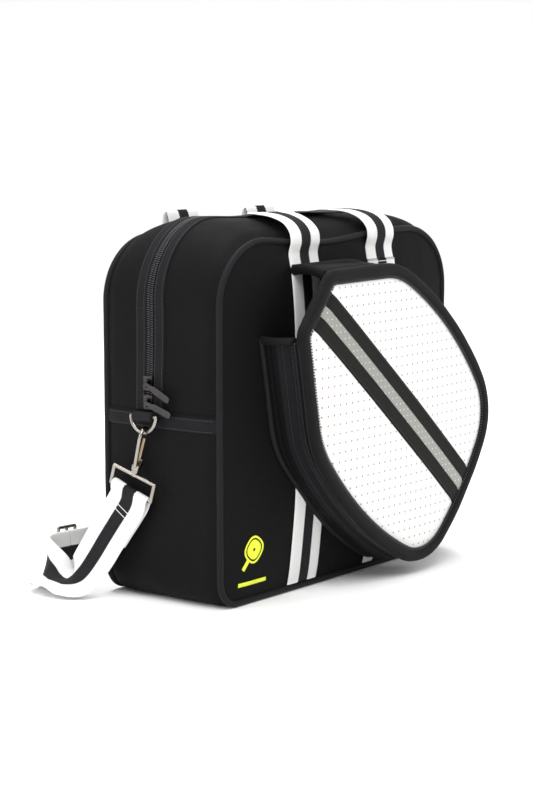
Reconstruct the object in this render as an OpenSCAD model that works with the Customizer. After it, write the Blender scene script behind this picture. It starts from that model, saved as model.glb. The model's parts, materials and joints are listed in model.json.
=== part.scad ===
// Soft neoprene sports tote with a paddle case zipped onto its front.
// X runs across the bag, -Y is the side with the paddle case, +Z is up.
// The origin is on the ground under the middle of the bag.

/* [Bag body] */
// Width of the bag across the front panel
body_w = 316; // [280:1:380]
// Depth of the bag between the front and back panels
body_d = 120; // [100:1:150]
// Height of the bag to the top of the gusset
body_h = 298; // [285:1:360]
// Radius of the upper corners
top_r = 62; // [45:1:75]
// Radius of the lower corners
bottom_r = 24; // [15:1:35]
// Thickness of the front and back panels
panel_t = 5; // [3:0.5:7]
// Thickness of the gusset
gusset_t = 4.5; // [3:0.5:6]
// Diameter of the piping round the panels
piping_d = 5; // [3:0.5:6]
// Thickness of the stiffening board in the base
board_t = 3; // [2:0.5:5]

/* [Main zip] */
// How far the zip sits behind the middle of the gusset
zip_y = 8; // [0:1:14]
// Width of the closed row of teeth
teeth_w = 6.6; // [5:0.2:9]
// Width of each stitched tape beside the teeth
tape_w = 11; // [8:0.5:14]
// Height of the cross tape that ends the zip
end_tape_h = 12; // [9:0.5:16]
// Height of the middle of the cross tape
end_tape_z = 144; // [130:1:160]
// Length of a zip slider
slider_l = 11; // [9:0.5:14]
// Width of a zip slider
slider_w = 9; // [8:0.5:11]
// Length of a zip pull
pull_l = 27; // [18:1:34]

/* [Webbing] */
// Width of the striped webbing
webbing_w = 38; // [25:1:50]
// Thickness of the striped webbing
webbing_t = 2; // [1.2:0.1:2.6]
// Distance from the middle of the bag to each upright webbing
webbing_x = 52; // [45:1:60]
// How far the front handle lies back over the top
handle_reach = 53; // [45:1:60]
// How far the back handle hangs down
handle_drop = 70; // [60:1:85]

/* [Ring and hook] */
// Diameter of the wire of the D-ring
ring_wire_d = 3.2; // [3:0.1:4]
// Radius of the D-ring's bow, at the middle of the wire
ring_r = 12.5; // [11:0.5:16]
// Clearance of the ring's bar in its rolled tab
bar_clearance = 0.08; // [0.05:0.01:0.1]
// Thickness of the folded webbing between the rolled tab and the end tape
tab_standoff = 3.2; // [3:0.1:4.5]
// Length of the rolled tab
tab_l = 19; // [14:1:20]
// Length of the snap hook from the ring to the swivel
hook_l = 31; // [28:1:40]
// Diameter of the hook's wire
hook_wire_d = 3; // [2.6:0.1:3.4]
// Diameter of the wire of the strap loop
loop_wire_d = 3.2; // [2.5:0.1:4]
// Height of the gap in the strap loop
loop_gap = 11; // [9:0.5:16]
// Sideways tilt of the hanging hook, in degrees
hook_tilt = 16; // [10:1:20]

/* [Paddle case] */
// Length of the face of the paddle case, from the mouth to the round end
case_l = 262; // [235:1:275]
// Width of the face of the paddle case
case_w = 186; // [164:1:204]
// Width of the mouth of the paddle case
mouth_w = 54; // [44:1:64]
// Depth of the paddle case in front of the panel
case_d = 47; // [36:1:56]
// Width of the binding round the face
binding_w = 10; // [7:0.5:12]
// Wall of the paddle case's gusset
case_wall = 4; // [3:0.5:5]
// Tilt of the case's long axis below the horizontal, in degrees
case_tilt = 39.5; // [30:0.5:45]
// Sideways place of the middle of the case
case_x = 20; // [0:1:24]
// Height of the middle of the case
case_z = 143; // [135:1:155]
// Width of the black stripe along the face
stripe_w = 35; // [28:1:45]
// Width of the silver stripe inside it
silver_w = 10; // [6:1:16]

/* [Hidden] */

// Gap between two bodies that move past each other
gap = 0.3;
// Steps in each rounded corner of an outline
steps = 14;
big = 1000;

piping_r = piping_d / 2;
piping_inset = piping_r + 0.1;
panel_inset = piping_d + gap;
gusset_y = body_d / 2 - piping_d - gap;
front_y = -body_d / 2;
back_y = body_d / 2;
side_x = body_w / 2;
half_teeth = teeth_w / 2;
tape_t = 1.2;
tape_edge = half_teeth + tape_w;
end_tape_t = 1.5;
end_tape_top = end_tape_z + end_tape_h / 2;
fold_z = end_tape_top + 2;
fold_y = back_y + webbing_t + 0.2;

ring_wire_r = ring_wire_d / 2;
tab_r = ring_wire_r + bar_clearance + webbing_t;
ring_x = side_x + end_tape_t + tab_r + tab_standoff;
ring_z = end_tape_top - 2;
ring_bottom_z = ring_z - ring_r;
hook_wire_r = hook_wire_d / 2;
eye_r = 6.7;
eye_drop = eye_r - hook_wire_r - ring_wire_r - 0.4;
swivel_l = 7;
loop_wire_r = loop_wire_d / 2;
loop_w = webbing_w + 1.5;
loop_h = loop_gap + loop_wire_d;

// Levels in front of the panel, measured from the panel's outer face
zip_level = case_d - 13;
teeth_half_d = 2.6;
face_t = 3.5;
binding_back = case_d - 8.5;

// The case's outline is made of arcs that run on into each other. The corners beside the
// round end have their centres this far inside the end and the sides.
end_u = 122;
mouth_u = end_u - case_l;
corner_r = 48;
corner_in_u = 51;
corner_in_v = 56;
corner_c = [end_u - corner_in_u, case_w / 2 - corner_in_v];
end_r = (pow(corner_in_u, 2) + pow(corner_c[1], 2) - pow(corner_r, 2)) / (2 * (corner_in_u - corner_r));
end_c = [end_u - end_r, 0];
end_a = atan2(corner_c[1], corner_c[0] - end_c[0]);
// The shoulders start this far from the mouth
shoulder_l = 85;
shoulder_r = 70;
side_u = (corner_c[0] + mouth_u + shoulder_l) / 2;
side_r = (pow(corner_c[0] - side_u, 2) + pow(corner_in_v, 2) - pow(corner_r, 2))
    / (2 * (corner_in_v - corner_r));
side_c = [side_u, case_w / 2 - side_r];
corner_a = atan2(corner_c[1] - side_c[1], corner_c[0] - side_c[0]);
shoulder_a = 90 + asin((side_u - mouth_u - shoulder_l) / side_r);
shoulder_c = side_c + (side_r - shoulder_r) * [cos(shoulder_a), sin(shoulder_a)];

// A point on a circle
function polar(c, r, a) = [c[0] + r * cos(a), c[1] + r * sin(a)];
// Points along an arc from angle a0 to angle a1
function arc(c, r, a0, a1, n) = [for (i = [0 : n]) polar(c, r, a0 + (a1 - a0) * i / n)];

// Outline of the bag seen from the front, moved inwards by inset
function body_outline(inset) = concat(
    arc([side_x - top_r, body_h - top_r], top_r - inset, 0, 90, steps),
    arc([top_r - side_x, body_h - top_r], top_r - inset, 90, 180, steps),
    arc([bottom_r - side_x, bottom_r], bottom_r - inset, 180, 270, steps),
    arc([side_x - bottom_r, bottom_r], bottom_r - inset, 270, 360, steps)
);

// Angle at which a line that touches a circle leaves it for the point p, on its upper side
function touch_angle(c, r, p) =
    let (d = p - c)
    (atan2(d[1], d[0]) + 360) % 360 - acos(r / norm(d));

// Points along an arc, without its first one
function arc_on(c, r, a0, a1, n) = [for (i = [1 : n]) polar(c, r, a0 + (a1 - a0) * i / n)];

// Outline of the paddle case in its own plane, grown outwards by grow.
// The round end is at +X, the mouth at -X.
function case_outline(grow) =
    let (
        mc = [mouth_u, mouth_w / 2],
        a = touch_angle(shoulder_c, shoulder_r, mc),
        upper = concat(
            arc(end_c, end_r + grow, 0, end_a, 4),
            arc_on(corner_c, corner_r + grow, end_a, corner_a, steps),
            arc_on(side_c, side_r + grow, corner_a, shoulder_a, 8),
            arc_on(shoulder_c, shoulder_r + grow, shoulder_a, a, 8),
            grow > 0 ? arc(mc, grow, a, 180, 6) : [mc]
        )
    )
    concat(upper, [for (i = [len(upper) - 1 : -1 : 1]) [upper[i][0], -upper[i][1]]]);

// A flat shape pushed out between two Y levels, drawn in the XZ plane
module slab(y0, y1) {
    translate([0, y1, 0]) rotate([90, 0, 0]) linear_extrude(y1 - y0) children();
}

// A strip that follows the bag's outline, between two insets and two Y levels
module body_strip(y0, y1, outer_inset, inner_inset) {
    slab(y0, y1) difference() {
        polygon(body_outline(outer_inset));
        polygon(body_outline(inner_inset));
    }
}

// Keeps what is above a height
module above(z) {
    intersection() {
        children();
        translate([-big, -big, z]) cube(2 * big);
    }
}

// Keeps what is below a height
module below(z) {
    intersection() {
        children();
        translate([-big, -big, z - 2 * big]) cube(2 * big);
    }
}

// A quarter of a ring, in the XZ plane round c, starting at angle a
module quarter_ring(c, r, wire_r, a) {
    translate([c[0], 0, c[1]]) rotate([90, 0, 0]) rotate([0, 0, a])
        rotate_extrude(angle = 90, $fn = 64) translate([r, 0]) circle(wire_r, $fn = 24);
}

// A straight wire from p to q
module wire(p, q, r) {
    d = q - p;
    translate(p) rotate([0, acos(d[2] / norm(d)), atan2(d[1], d[0])])
        cylinder(h = norm(d), r = r, $fn = 24);
}

// Piping round a whole panel
module piping_ring(y) {
    t = top_r - piping_inset;
    b = bottom_r - piping_inset;
    tx = side_x - top_r;
    bx = side_x - bottom_r;
    e = side_x - piping_inset;
    top_z = body_h - top_r;
    translate([0, y, 0]) {
        quarter_ring([tx, top_z], t, piping_r, 0);
        quarter_ring([-tx, top_z], t, piping_r, 90);
        quarter_ring([-bx, bottom_r], b, piping_r, 180);
        quarter_ring([bx, bottom_r], b, piping_r, 270);
        wire([-tx, 0, body_h - piping_inset], [tx, 0, body_h - piping_inset], piping_r);
        wire([-bx, 0, piping_inset], [bx, 0, piping_inset], piping_r);
        for (x = [-e, e]) wire([x, 0, bottom_r], [x, 0, top_z], piping_r);
    }
}

// Draws its children on the left side, and mirrored on the right side
module on_side(side) {
    if (side == "left") {
        children();
    } else {
        mirror([1, 0, 0]) children();
    }
}

// ---- Bag body ----

module front_panel() {
    color([0.06, 0.06, 0.06]) slab(front_y, front_y + panel_t) polygon(body_outline(panel_inset));
}

module back_panel() {
    slab(back_y - panel_t, back_y) polygon(body_outline(panel_inset));
}

module back_panel_lower() {
    color([0.06, 0.06, 0.06]) below(fold_z - gap / 2) back_panel();
}

module back_panel_upper() {
    color([0.07, 0.07, 0.07]) above(fold_z + gap / 2) back_panel();
}

module lower_gusset() {
    color([0.05, 0.05, 0.05]) below(fold_z - gap / 2)
        body_strip(-gusset_y, gusset_y, 0, gusset_t);
}

module front_upper_gusset() {
    color([0.06, 0.06, 0.06]) above(fold_z + gap / 2)
        body_strip(-gusset_y, zip_y - half_teeth - 2, 0, gusset_t);
}

module back_upper_gusset() {
    color([0.06, 0.06, 0.06]) above(fold_z + gap / 2)
        body_strip(zip_y + half_teeth + 2, gusset_y, 0, gusset_t);
}

module front_piping() {
    color([0.08, 0.08, 0.09]) piping_ring(front_y + piping_r);
}

module back_piping_lower() {
    color([0.08, 0.08, 0.09]) below(fold_z - gap / 2) piping_ring(back_y - piping_r);
}

module back_piping_upper() {
    color([0.08, 0.08, 0.09]) above(fold_z + gap / 2) piping_ring(back_y - piping_r);
}

// Folded tape that covers the cut edges inside the front seam
module front_seam_binding() {
    color([0.1, 0.1, 0.1])
        body_strip(front_y + panel_t, front_y + panel_t + 6, gusset_t, gusset_t + 3.5);
}

module base_board() {
    x = side_x - bottom_r;
    color([0.2, 0.2, 0.2])
        translate([-x, front_y + panel_t + 8, gusset_t])
            cube([2 * x, body_d - 2 * panel_t - 16, board_t]);
}

// ---- Main zip ----

module zip_arch(y0, y1, outer_inset, inner_inset) {
    above(fold_z + gap / 2) body_strip(y0, y1, outer_inset, inner_inset);
}

module front_zip_tape() {
    color([0.04, 0.04, 0.04]) zip_arch(zip_y - tape_edge, zip_y - half_teeth, -tape_t, 0);
}

module back_zip_tape() {
    color([0.04, 0.04, 0.04]) zip_arch(zip_y + half_teeth, zip_y + tape_edge, -tape_t, 0);
}

module front_zip_teeth() {
    color([0.12, 0.12, 0.13]) zip_arch(zip_y - half_teeth, zip_y - gap / 2, -tape_t, 1.6);
}

module back_zip_teeth() {
    color([0.12, 0.12, 0.13]) zip_arch(zip_y + gap / 2, zip_y + half_teeth, -tape_t, 1.6);
}

// Cross tape over the side gusset where the zip ends
module end_tape() {
    translate([-side_x - end_tape_t, -gusset_y, end_tape_z - end_tape_h / 2])
        cube([end_tape_t, 2 * gusset_y, end_tape_h]);
}

module left_end_tape() {
    color([0.03, 0.03, 0.03]) end_tape();
}

module right_end_tape() {
    color([0.03, 0.03, 0.03]) mirror([1, 0, 0]) end_tape();
}

slider_base = side_x + tape_t + gap;
plate_t = 1.6;
bridge_r = 0.8;
bridge_x = slider_base + plate_t + 1.9;
lower_slider_z = fold_z + slider_l / 2 + 1;
upper_slider_z = lower_slider_z + slider_l + 4;
upper_pull_angle = 26;
lower_pull_angle = 18;
pull_t = 1.4;
pull_w = 5.4;

// Zip slider on the left side, its middle at height z: a waisted plate and a bridge
// that is square to a pull hanging at an angle below the horizontal
module zip_slider(z, angle) {
    translate([-slider_base, zip_y, z]) rotate([0, -90, 0]) {
        difference() {
            translate([-slider_l / 2, -slider_w / 2, 0]) cube([slider_l, slider_w, plate_t]);
            for (s = [-1, 1]) translate([-slider_l / 2 - 1, s * slider_w / 2, -1])
                rotate([0, 0, 45]) cube([2.4, 2.4, 4], center = true);
        }
        rotate([0, 0, 180 - angle]) {
            translate([-2.6, 0, bridge_x - slider_base]) rotate([0, 90, 0])
                cylinder(h = 5.2, r = bridge_r, $fn = 20);
            for (s = [-2.6, 2.6]) translate([s - 0.8, -1.1, plate_t / 2])
                cube([1.6, 2.2, bridge_x - slider_base + 0.4]);
        }
    }
}

// Flat zip pull that hangs from the bridge of the slider at height z
module zip_pull(z, angle) {
    eye_r_in = bridge_r + 0.15;
    translate([-bridge_x, zip_y, z]) rotate([0, -90, 0]) rotate([0, 0, 180 - angle]) {
        difference() {
            union() {
                translate([-1.6, 0, 0]) rotate([0, 90, 0]) cylinder(h = 3.2, r = 1.7, $fn = 28);
                translate([-1.6, 0, 0.3]) cube([3.2, 7, pull_t]);
            }
            translate([-3, 0, 0]) rotate([0, 90, 0]) cylinder(h = 6, r = eye_r_in, $fn = 28);
        }
        translate([0, 0, 0.3]) linear_extrude(pull_t) polygon([
            [-1.6, 6], [1.6, 6], [pull_w / 2, 10], [pull_w / 2, pull_l - 2], [1.6, pull_l],
            [-1.6, pull_l], [-pull_w / 2, pull_l - 2], [-pull_w / 2, 10]
        ]);
    }
}

module upper_zip_slider() {
    color([0.15, 0.15, 0.16]) zip_slider(upper_slider_z, upper_pull_angle);
}

module lower_zip_slider() {
    color([0.15, 0.15, 0.16]) zip_slider(lower_slider_z, lower_pull_angle);
}

module upper_zip_pull() {
    color([0.2, 0.2, 0.22]) zip_pull(upper_slider_z, upper_pull_angle);
}

module lower_zip_pull() {
    color([0.2, 0.2, 0.22]) zip_pull(lower_slider_z, lower_pull_angle);
}

// ---- Rings, hooks and strap ----

// Rolled webbing tab that holds the bar of the ring against the end tape
module ring_tab() {
    translate([-ring_x, zip_y, ring_z]) difference() {
        union() {
            rotate([90, 0, 0]) cylinder(h = tab_l, r = tab_r, center = true, $fn = 48);
            translate([0, -tab_l / 2, -tab_r]) cube([tab_r + tab_standoff, tab_l, tab_r]);
        }
        rotate([90, 0, 0])
            cylinder(h = tab_l + 2, r = ring_wire_r + bar_clearance, center = true, $fn = 48);
    }
}

module d_ring() {
    translate([-ring_x, zip_y, ring_z]) {
        rotate([90, 0, 0]) cylinder(h = 2 * ring_r, r = ring_wire_r, center = true, $fn = 32);
        for (s = [-1, 1]) translate([0, s * ring_r, 0]) sphere(ring_wire_r, $fn = 32);
        rotate([0, 90, 0]) rotate([0, 0, -90]) rotate_extrude(angle = 180, $fn = 64)
            translate([ring_r, 0]) circle(ring_wire_r, $fn = 24);
    }
}

// Places children at the lowest point of the ring, hanging along the tilted hook
module hook_frame() {
    translate([-ring_x, zip_y, ring_bottom_z]) rotate([hook_tilt, 0, 0]) children();
}

hook_turn = 22;
eye_z = -eye_drop;
foot_z = -hook_l;
gate_pivot = [4.2, 0, foot_z + 6];
gate_top = [eye_r - 0.6, 0, eye_z - 3.2];

// Open hook: an eye over the ring, one bowed leg and a foot
module hook_body() {
    hook_frame() rotate([0, 0, hook_turn]) {
        translate([0, 0, eye_z]) rotate([90, 0, 0]) rotate_extrude(angle = 195, $fn = 64)
            translate([eye_r, 0]) circle(hook_wire_r, $fn = 24);
        leg_top = [eye_r * cos(195), 0, eye_z + eye_r * sin(195)];
        leg_foot = [-3.4, 0, foot_z + 4];
        wire(leg_top, leg_foot, hook_wire_r);
        for (p = [leg_top, leg_foot]) translate(p) sphere(hook_wire_r + 0.15, $fn = 28);
        translate([0, 0, foot_z]) cylinder(h = 4, r = 3.6, $fn = 40);
        wire(leg_foot, [-1.4, 0, foot_z + 1], hook_wire_r);
        for (s = [-1, 1]) translate([gate_pivot[0], s * 2.3, gate_pivot[2]]) rotate([90, 0, 0])
            cylinder(h = 1.2, r = 2.4, center = true, $fn = 32);
        for (s = [-1, 1]) translate([0, s * 2.3 - 0.6, foot_z + 1.2])
            cube([gate_pivot[0] + 1.6, 1.2, 4]);
        translate([gate_pivot[0], 0, gate_pivot[2]]) rotate([90, 0, 0])
            cylinder(h = 5.6, r = 0.7, center = true, $fn = 20);
    }
}

// Sprung gate that closes the hook
module hook_gate() {
    hook_frame() rotate([0, 0, hook_turn]) {
        difference() {
            union() {
                translate(gate_pivot) rotate([90, 0, 0])
                    cylinder(h = 3.0, r = 2, center = true, $fn = 32);
                wire(gate_pivot, gate_top, 1.3);
                translate(gate_pivot + [0, 0, 6]) rotate([0, 90, 0])
                    cylinder(h = 3.6, r = 1.2, $fn = 24);
            }
            translate(gate_pivot) rotate([90, 0, 0])
                cylinder(h = 8, r = 0.75, center = true, $fn = 24);
        }
    }
}

// Rectangular loop on a swivel stud, which holds the end of the strap
module strap_loop() {
    bar_top = foot_z - swivel_l + 2;
    hx = loop_w / 2 + loop_wire_r;
    hook_frame() {
        translate([0, 0, foot_z - 2.6]) cylinder(h = 2.3, r = 3.2, $fn = 36);
        translate([0, 0, bar_top - 1]) cylinder(h = foot_z - 2.6 - bar_top + 1.5, r = 1.8, $fn = 24);
        rotate([0, 0, 90]) {
            for (z = [bar_top, bar_top - loop_h]) {
                wire([-hx, 0, z], [hx, 0, z], loop_wire_r);
                for (s = [-1, 1]) translate([s * hx, 0, z]) sphere(loop_wire_r, $fn = 24);
            }
            for (s = [-1, 1]) wire([s * hx, 0, bar_top - loop_h], [s * hx, 0, bar_top], loop_wire_r);
        }
    }
}

module left_ring_tab() {
    color([0.03, 0.03, 0.03]) on_side("left") ring_tab();
}

module right_ring_tab() {
    color([0.03, 0.03, 0.03]) on_side("right") ring_tab();
}

module left_d_ring() {
    color([0.45, 0.44, 0.42]) on_side("left") d_ring();
}

module right_d_ring() {
    color([0.45, 0.44, 0.42]) on_side("right") d_ring();
}

module left_hook() {
    color([0.4, 0.39, 0.37]) on_side("left") hook_body();
}

module right_hook() {
    color([0.4, 0.39, 0.37]) on_side("right") hook_body();
}

module left_hook_gate() {
    color([0.5, 0.48, 0.4]) on_side("left") hook_gate();
}

module right_hook_gate() {
    color([0.5, 0.48, 0.4]) on_side("right") hook_gate();
}

module left_strap_loop() {
    color([0.4, 0.39, 0.37]) on_side("left") strap_loop();
}

module right_strap_loop() {
    color([0.4, 0.39, 0.37]) on_side("right") strap_loop();
}

// A smooth value between p1 and p2 of four points in a row
function smooth(p0, p1, p2, p3, t) =
    0.5 * (2 * p1 + (p2 - p0) * t + (2 * p0 - 5 * p1 + 4 * p2 - p3) * t * t
        + (3 * p1 - p0 - 3 * p2 + p3) * t * t * t);

// Points of a smooth curve through a list of points, n steps between each two
function smooth_path(p, n) = concat(
    [for (i = [0 : len(p) - 2]) for (k = [0 : n - 1])
        smooth(p[max(i - 1, 0)], p[i], p[i + 1], p[min(i + 2, len(p) - 1)], k / n)],
    [p[len(p) - 1]]
);

function unit(v) = v / norm(v);

// The other half of a route or of its widths, in mirror image and back to front
function mirrored(p) = [for (i = [len(p) - 1 : -1 : 0]) [-p[i][0], p[i][1], p[i][2]]];

// A flat band carried along a route, w wide along the list of widths and t thick
module band(route, widths, n, w, t) {
    p = smooth_path(route, n);
    q = smooth_path(widths, n);
    m = len(p);
    rings = [for (i = [0 : m - 1])
        let (
            along = unit(p[min(i + 1, m - 1)] - p[max(i - 1, 0)]),
            across = unit(q[i] - (q[i] * along) * along),
            up = cross(along, across)
        )
        for (c = [[-1, -1], [1, -1], [1, 1], [-1, 1]])
            p[i] + across * (c[0] * w / 2) + up * (c[1] * t / 2)
    ];
    sides = [for (i = [0 : m - 2]) for (k = [0 : 3])
        let (a = 4 * i + k, b = 4 * i + (k + 1) % 4)
        for (f = [[a, b + 4, b], [a, a + 4, b + 4]]) f];
    last = 4 * (m - 1);
    ends = [[3, 1, 2], [3, 0, 1], [last, last + 2, last + 1], [last, last + 3, last + 2]];
    polyhedron(points = rings, faces = concat(sides, ends));
}

// Half of the shoulder strap's route, from the left loop down to the ground
// and round behind the bag, and the direction of its width at each point.
// The places are measured from the bag's left side.
strap_places = [
    [-8, 25, 78], [-11, 36, 61], [-17, 50, 37], [-23, 62, 18], [-27, 75, 11], [-26, 89, 12],
    [-19, 103, 17.5], [-4, 117, 20.1], [13, 120.6, 20], [38, 118, 20], [68, 114.9, 20],
    [108, 118, 20]
];
strap_route = [for (p = strap_places) [p[0] - side_x, p[1], p[2]]];
strap_widths = [
    [0, 0.96, 0.27], [0, 0.96, 0.27], [0, 0.97, 0.25], [0.1, 0.97, 0.15], [0.4, 0.9, 0],
    [0.75, 0.6, 0.3], [0.6, 0.2, 0.75], [0.2, 0, 0.97], [0, 0, 1], [0, 0, 1],
    [0, 0, 1], [0, 0, 1]
];
strap_t = 3;

module shoulder_strap() {
    route = concat(strap_route, [[0, 112, 20]], mirrored(strap_route));
    widths = concat(strap_widths, [[0, 0, 1]], mirrored(strap_widths));
    color([0.9, 0.9, 0.9]) band(route, widths, 3, webbing_w, strap_t);
}

// Three-bar slider round the strap, just behind the left back corner
module strap_adjuster() {
    r = 1.5;
    half_w = 9;
    top = 20 + webbing_w / 2 + 2.4;
    low = 20 - webbing_w / 2 + 0.9;
    color([0.4, 0.39, 0.37]) translate([24 - side_x, 119.5, 0]) rotate([0, 0, -6]) {
        for (s = [-1, 0, 1]) wire([s * half_w, strap_t / 2 + r + 0.6, low],
            [s * half_w, strap_t / 2 + r + 0.6, top], r);
        for (z = [low + 1, top]) wire([-half_w, strap_t / 2 + r + 0.6, z],
            [half_w, strap_t / 2 + r + 0.6, z], r);
    }
}

// ---- Webbings and handles ----

// One upright length of webbing on a panel, its face at level y
module webbing(x, y0, z0, z1) {
    translate([x - webbing_w / 2, y0, z0]) cube([webbing_w, webbing_t, z1 - z0]);
}

module front_webbings() {
    color([0.92, 0.92, 0.92]) for (x = [-webbing_x, webbing_x])
        webbing(x, front_y - webbing_t, panel_inset + 1, body_h);
}

module back_webbings_lower() {
    color([0.92, 0.92, 0.92]) for (x = [-webbing_x, webbing_x])
        webbing(x, back_y, panel_inset + 1, fold_z - gap / 2);
}

module back_webbings_upper() {
    color([0.92, 0.92, 0.92]) for (x = [-webbing_x, webbing_x])
        webbing(x, back_y, fold_z + gap / 2, body_h);
}

// The front handle lies back over the top of the bag in a flat bow
module front_handle() {
    x = webbing_x;
    y = front_y + 3;
    end = front_y + handle_reach;
    top = body_h + tape_t;
    half = [
        [-x, y, top + 3], [-x, y + 9, top + 6], [-x + 3, y + 26, top + 7],
        [-x + 16, end - 8, top + 6], [-x + 36, end - 1, top + 4]
    ];
    across = [[1, 0, 0], [1, 0.05, 0], [0.95, -0.3, 0], [0.5, -0.86, 0], [0.1, -1, 0.1]];
    route = concat(half, [[0, end, top + 3]], mirrored(half));
    widths = concat(across, [[0, -1, 0]], mirrored(across));
    color([0.92, 0.92, 0.92]) band(route, widths, 4, webbing_w, webbing_t);
}

// The back handle folds over the top edge and hangs down behind the bag
module back_handle() {
    x = webbing_x;
    y = back_y + webbing_t + 5.5;
    low = body_h - handle_drop;
    half = [
        [-x, y, body_h], [-x + 1, y + 1.5, body_h - 22], [-x + 14, y + 1.5, low + 18],
        [-x + 34, y + 0.5, low + 4]
    ];
    across = [[1, 0, 0], [0.97, 0, 0.2], [0.6, 0, 0.8], [0.15, 0, 1]];
    route = concat(half, [[0, y, low]], mirrored(half));
    widths = concat(across, [[0, 0, 1]], mirrored(across));
    color([0.92, 0.92, 0.92]) band(route, widths, 4, webbing_w, webbing_t);
}

// ---- Paddle case ----

// Places a shape of the case's own plane on the front panel, between two levels
module case_layer(near, far) {
    translate([case_x, front_y - near, case_z]) rotate([90, 0, 0]) rotate([0, 0, -case_tilt])
        linear_extrude(far - near) children();
}

// A ring round the case between two outlines
module case_ring(near, far, inner, outer) {
    case_layer(near, far) difference() {
        polygon(case_outline(outer));
        polygon(case_outline(inner));
    }
}

// The part of the case's plane that the mouth leaves open
module mouth_gap() {
    translate([mouth_u - 40, -mouth_w / 2 + 0.01]) square([48, mouth_w - 0.02]);
}

// A ring round the case that stops at both sides of the mouth
module open_ring(near, far, inner, outer) {
    case_layer(near, far) difference() {
        polygon(case_outline(outer));
        polygon(case_outline(inner));
        mouth_gap();
    }
}

module case_base_piping() {
    color([0.05, 0.05, 0.05]) open_ring(webbing_t + 0.1, webbing_t + 4, 8, 11);
}

module case_rear_gusset() {
    color([0.05, 0.05, 0.05])
        open_ring(webbing_t + 0.1, zip_level - teeth_half_d, 8 - case_wall, 8);
}

module case_rear_teeth() {
    color([0.12, 0.12, 0.13])
        open_ring(zip_level - teeth_half_d, zip_level - gap / 2, 8 - case_wall + 0.5, 7);
}

module case_front_teeth() {
    color([0.12, 0.12, 0.13])
        open_ring(zip_level + gap / 2, zip_level + teeth_half_d, 8 - case_wall + 0.5, 7);
}

module case_front_gusset() {
    color([0.05, 0.05, 0.05])
        open_ring(zip_level + teeth_half_d, binding_back, 8 - case_wall, 8);
}

module case_face() {
    color([0.95, 0.95, 0.93]) case_layer(case_d - face_t, case_d) polygon(case_outline(0));
}

module case_binding() {
    color([0.04, 0.04, 0.04]) case_ring(binding_back, case_d + 0.5, 0, binding_w);
}

module stripe(level, t, w) {
    case_layer(level, level + t) intersection() {
        polygon(case_outline(-0.2));
        translate([mouth_u, -w / 2]) square([case_l, w]);
    }
}

module case_black_stripe() {
    color([0.07, 0.07, 0.07]) stripe(case_d, 0.5, stripe_w);
}

module case_silver_stripe() {
    color([0.6, 0.6, 0.56]) stripe(case_d + 0.5, 0.4, silver_w);
}

case_slider_r = corner_r + 7 + gap;
case_slider_a = -end_a - 4;

// Places children on the lower corner of the case, where its zip slider stands
module case_slider_frame() {
    translate([case_x, front_y - zip_level, case_z]) rotate([90, 0, 0])
        rotate([0, 0, -case_tilt]) translate([corner_c[0], -corner_c[1], 0])
            rotate([0, 0, case_slider_a]) translate([case_slider_r, 0, 0]) children();
}

module case_zip_slider() {
    color([0.15, 0.15, 0.16]) case_slider_frame() {
        translate([0, -slider_l / 2, -2.4]) cube([plate_t, slider_l, 4.8]);
        translate([plate_t + 1.6, 0, 0]) rotate([0, 0, 0])
            cylinder(h = 4.4, r = bridge_r, center = true, $fn = 20);
        for (s = [-1, 1]) translate([plate_t / 2, 0, s * 2.2 - 0.2 * s]) rotate([0, 90, 0])
            cylinder(h = plate_t / 2 + 1.6, r = bridge_r, $fn = 20);
    }
}

module case_zip_pull() {
    color([0.2, 0.2, 0.22]) case_slider_frame() translate([plate_t + 1.6, 0, 0]) {
        difference() {
            union() {
                cylinder(h = 2, r = 1.6, center = true, $fn = 28);
                translate([0.2, -7, -1]) cube([1.3, 7, 2]);
            }
            cylinder(h = 8, r = bridge_r + 0.15, center = true, $fn = 28);
        }
        translate([0.2, -pull_l * 0.8, -2.6]) cube([1.3, pull_l * 0.8 - 6, 5.2]);
    }
}

// Binding over the cut ends of the rear gusset, on both sides of the mouth
module case_mouth_binding() {
    color([0.04, 0.04, 0.04]) for (s = [-1, 1])
        case_layer(webbing_t + 4, zip_level - gap / 2)
            translate([mouth_u - 11.2, s * (mouth_w / 2 + 3.4) - 3.4]) square([3.2, 6.8]);
}

// ---- Printed mark ----

mark_x = -118;
mark_z = 38;
mark_t = 0.4;

// A small tilted paddle over a bar
module emblem() {
    color([0.85, 0.9, 0.1]) translate([mark_x, front_y, mark_z]) rotate([90, 0, 0])
        linear_extrude(mark_t) {
            translate([0, 6]) rotate([0, 0, -40]) {
                circle(8.5, $fn = 48);
                translate([-1.8, -19]) square([3.6, 12]);
            }
            translate([-17, -22]) square([34, 3.2]);
        }
}

front_panel();
back_panel_lower();
back_panel_upper();
lower_gusset();
front_upper_gusset();
back_upper_gusset();
front_piping();
back_piping_lower();
back_piping_upper();
front_seam_binding();
base_board();
front_zip_tape();
back_zip_tape();
front_zip_teeth();
back_zip_teeth();
left_end_tape();
right_end_tape();
upper_zip_slider();
lower_zip_slider();
upper_zip_pull();
lower_zip_pull();
left_ring_tab();
right_ring_tab();
left_d_ring();
right_d_ring();
left_hook();
right_hook();
left_hook_gate();
right_hook_gate();
left_strap_loop();
right_strap_loop();
shoulder_strap();
strap_adjuster();
front_webbings();
back_webbings_lower();
back_webbings_upper();
front_handle();
back_handle();
case_base_piping();
case_rear_gusset();
case_rear_teeth();
case_front_teeth();
case_front_gusset();
case_face();
case_binding();
case_black_stripe();
case_silver_stripe();
case_zip_slider();
case_zip_pull();
case_mouth_binding();
emblem();
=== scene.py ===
"""Soft neoprene sports tote with a paddle case zipped onto its front.

X runs across the bag, -Y is the side with the paddle case, +Z is up, and the origin is on the
ground under the middle of the bag. Every function works in millimetres; a mesh is turned into
metres when it is made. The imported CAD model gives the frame, and the hard pieces stay as they are.
"""

import json
import logging
import math
from dataclasses import dataclass
from enum import Enum

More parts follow.
